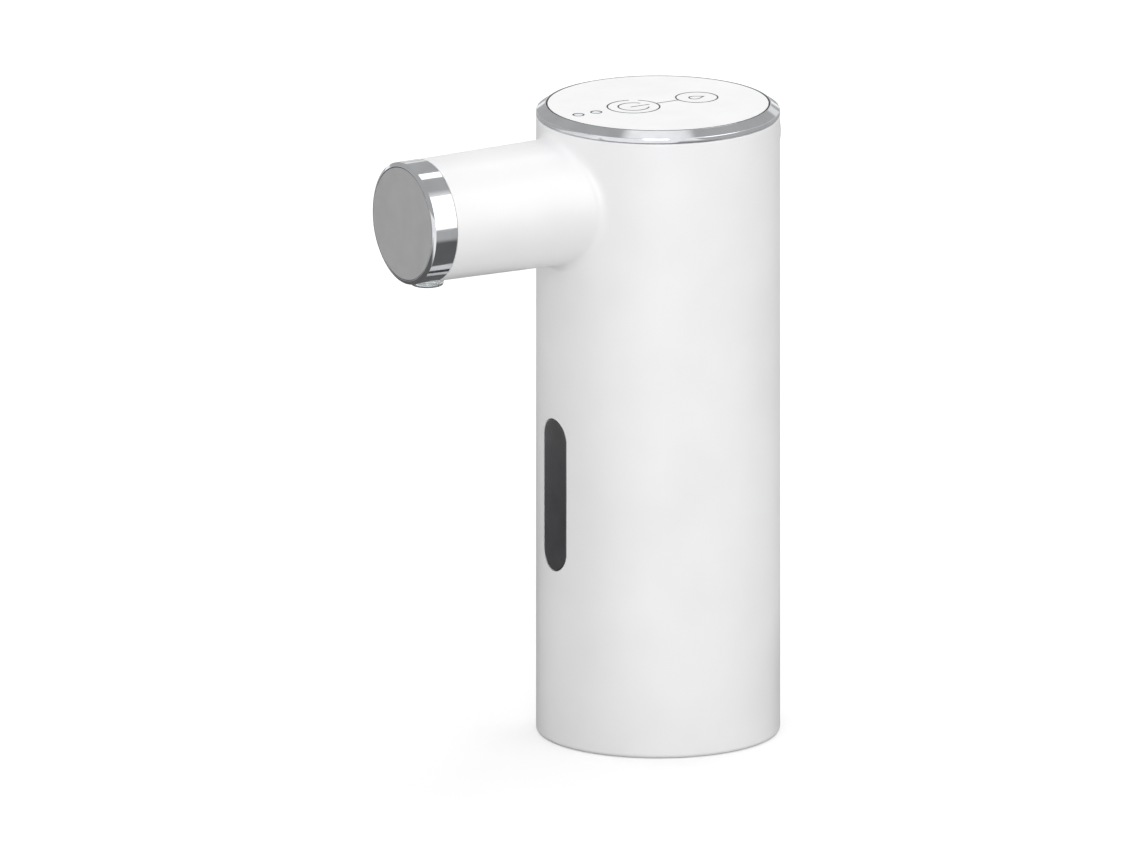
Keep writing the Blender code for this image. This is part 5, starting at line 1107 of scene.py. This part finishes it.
def make_world():
    """A plain white world.

    The camera and clear plastic see it as white. Shiny pieces see grey walls over a white skirting,
    white overhead and to the right, and a pale window behind.
    """
    world = bpy.data.worlds.new("white_studio")
    bpy.context.scene.world = world
    world.use_nodes = True
    tree = world.node_tree
    tree.nodes.clear()
    rays = add_node(tree, "ShaderNodeLightPath")
    place = add_node(tree, "ShaderNodeTexCoord").outputs["Generated"]
    axes = add_node(tree, "ShaderNodeSeparateXYZ", {0: place})
    # By height: the level at both ends, the level between, and the four heights where it changes
    walls, window = (add_node(tree, "ShaderNodeValToRGB", {0: axes.outputs["Z"]}) for _ in range(2))
    for heights, ends, between, rise in (
        (walls, 1.0, WALL_LEVEL, (0.07, 0.09, 0.95, 0.97)),
        (window, 0.0, WINDOW_LEVEL, (0.14, 0.17, 0.3, 0.34))
    ):
        ramp = heights.color_ramp
        ramp.elements[0].position, ramp.elements[1].position = rise[0], rise[3]
        for end in ramp.elements:
            end.color = (ends, ends, ends, 1.0)
        for position in rise[1:3]:
            ramp.elements.new(position).color = (between, between, between, 1.0)
    to_back = add_node(
        tree, "ShaderNodeMapRange", {"Value": axes.outputs["Y"], "From Min": 0.35, "From Max": 0.45}
    )
    back_window = add_node(
        tree, "ShaderNodeMath", {0: window.outputs["Color"], 1: to_back.outputs["Result"]},
        operation="MULTIPLY"
    )
    to_right = add_node(
        tree, "ShaderNodeMapRange", {"Value": axes.outputs["X"], "From Min": 0.15, "From Max": 0.5}
    )
    openings = add_node(
        tree, "ShaderNodeMath", {0: back_window.outputs[0], 1: to_right.outputs["Result"]},
        operation="MAXIMUM"
    )
    mirror_level = add_node(
        tree, "ShaderNodeMath", {0: walls.outputs["Color"], 1: openings.outputs[0]},
        operation="MAXIMUM"
    )
    lit, mirrored, white = (
        add_node(tree, "ShaderNodeBackground", {"Color": WHITE, "Strength": strength}).outputs[0]
        for strength in (WORLD_LIGHT, mirror_level.outputs[0], 1.0)
    )
    plain = add_node(
        tree, "ShaderNodeMixShader", {0: rays.outputs["Is Glossy Ray"], 1: lit, 2: mirrored}
    )
    seen = add_node(
        tree, "ShaderNodeMath",
        {0: rays.outputs["Is Camera Ray"], 1: rays.outputs["Is Transmission Ray"]}, operation="MAXIMUM"
    )
    behind = add_node(
        tree, "ShaderNodeMixShader", {0: seen.outputs[0], 1: plain.outputs[0], 2: white}
    )
    add_node(tree, "ShaderNodeOutputWorld", {"Surface": behind.outputs[0]})


def looking_from(azimuth, elevation):
    """The direction of a compass place, counted from the front to the right, at a height angle."""
    turn, rise = math.radians(azimuth), math.radians(elevation)
    return Vector((
        math.sin(turn) * math.cos(rise), -math.cos(turn) * math.cos(rise), math.sin(rise)
    ))


def put_on_stand(name, thing, aim, away, distance):
    """Puts a lamp or a camera at a distance from what it looks at."""
    holder = bpy.data.objects.new(name, thing)
    bpy.context.scene.collection.objects.link(holder)
    holder.location = aim + distance * away
    holder.rotation_euler = (-away).to_track_quat("-Z", "Y").to_euler()
    return holder


# Name, compass place, height angle, distance, width, height, power, and whether shiny pieces show it
SOFTBOXES = (
    ("key_softbox", 58.0, 14.0, 1.1, 0.45, 0.9, 5.2, True),
    ("side_softbox", 122.0, 24.0, 1.0, 0.7, 1.0, 2.0, True),
    ("overhead_strip", 207.0, 57.0, 0.8, 0.14, 0.22, 0.15, True),
    ("top_softbox", 0.0, 88.0, 1.0, 0.5, 0.5, 1.6, False),
    ("left_softbox", 292.0, 24.0, 1.0, 0.5, 0.5, 1.8, False),
    ("back_softbox", 205.0, 34.0, 1.0, 0.5, 0.5, 1.9, False),
)


def make_lights():
    """Soft area lights that look at the middle of the object."""
    middle = Vector((0.0, 0.0, 60 * MM))
    for name, azimuth, elevation, distance, width, height, power, mirrored in SOFTBOXES:
        lamp = bpy.data.lights.new(name, "AREA")
        lamp.shape = "RECTANGLE"
        lamp.size, lamp.size_y, lamp.energy = width, height, power
        holder = put_on_stand(name, lamp, middle, looking_from(azimuth, elevation), distance)
        holder.visible_camera = False
        holder.visible_glossy = mirrored


def make_camera():
    """A long-lens view from the spout's right, as the photograph has it."""
    azimuth, elevation, distance = 59.0, 14.2, 0.9
    turn = math.radians(azimuth)
    right = Vector((math.cos(turn), math.sin(turn), 0.0))
    aim = Vector((0.0, AXIS_Y, 58.7 * MM)) - 16.6 * MM * right
    camera = bpy.data.cameras.new("product_camera")
    camera.type = "ORTHO"
    camera.ortho_scale = 214.9 * MM
    camera.clip_start, camera.clip_end = 0.01, 20.0
    away = looking_from(azimuth, elevation)
    bpy.context.scene.camera = put_on_stand("product_camera", camera, aim, away, distance)


make_floor()
make_world()
make_lights()
make_camera()
bpy.context.scene.view_settings.view_transform = "Standard"
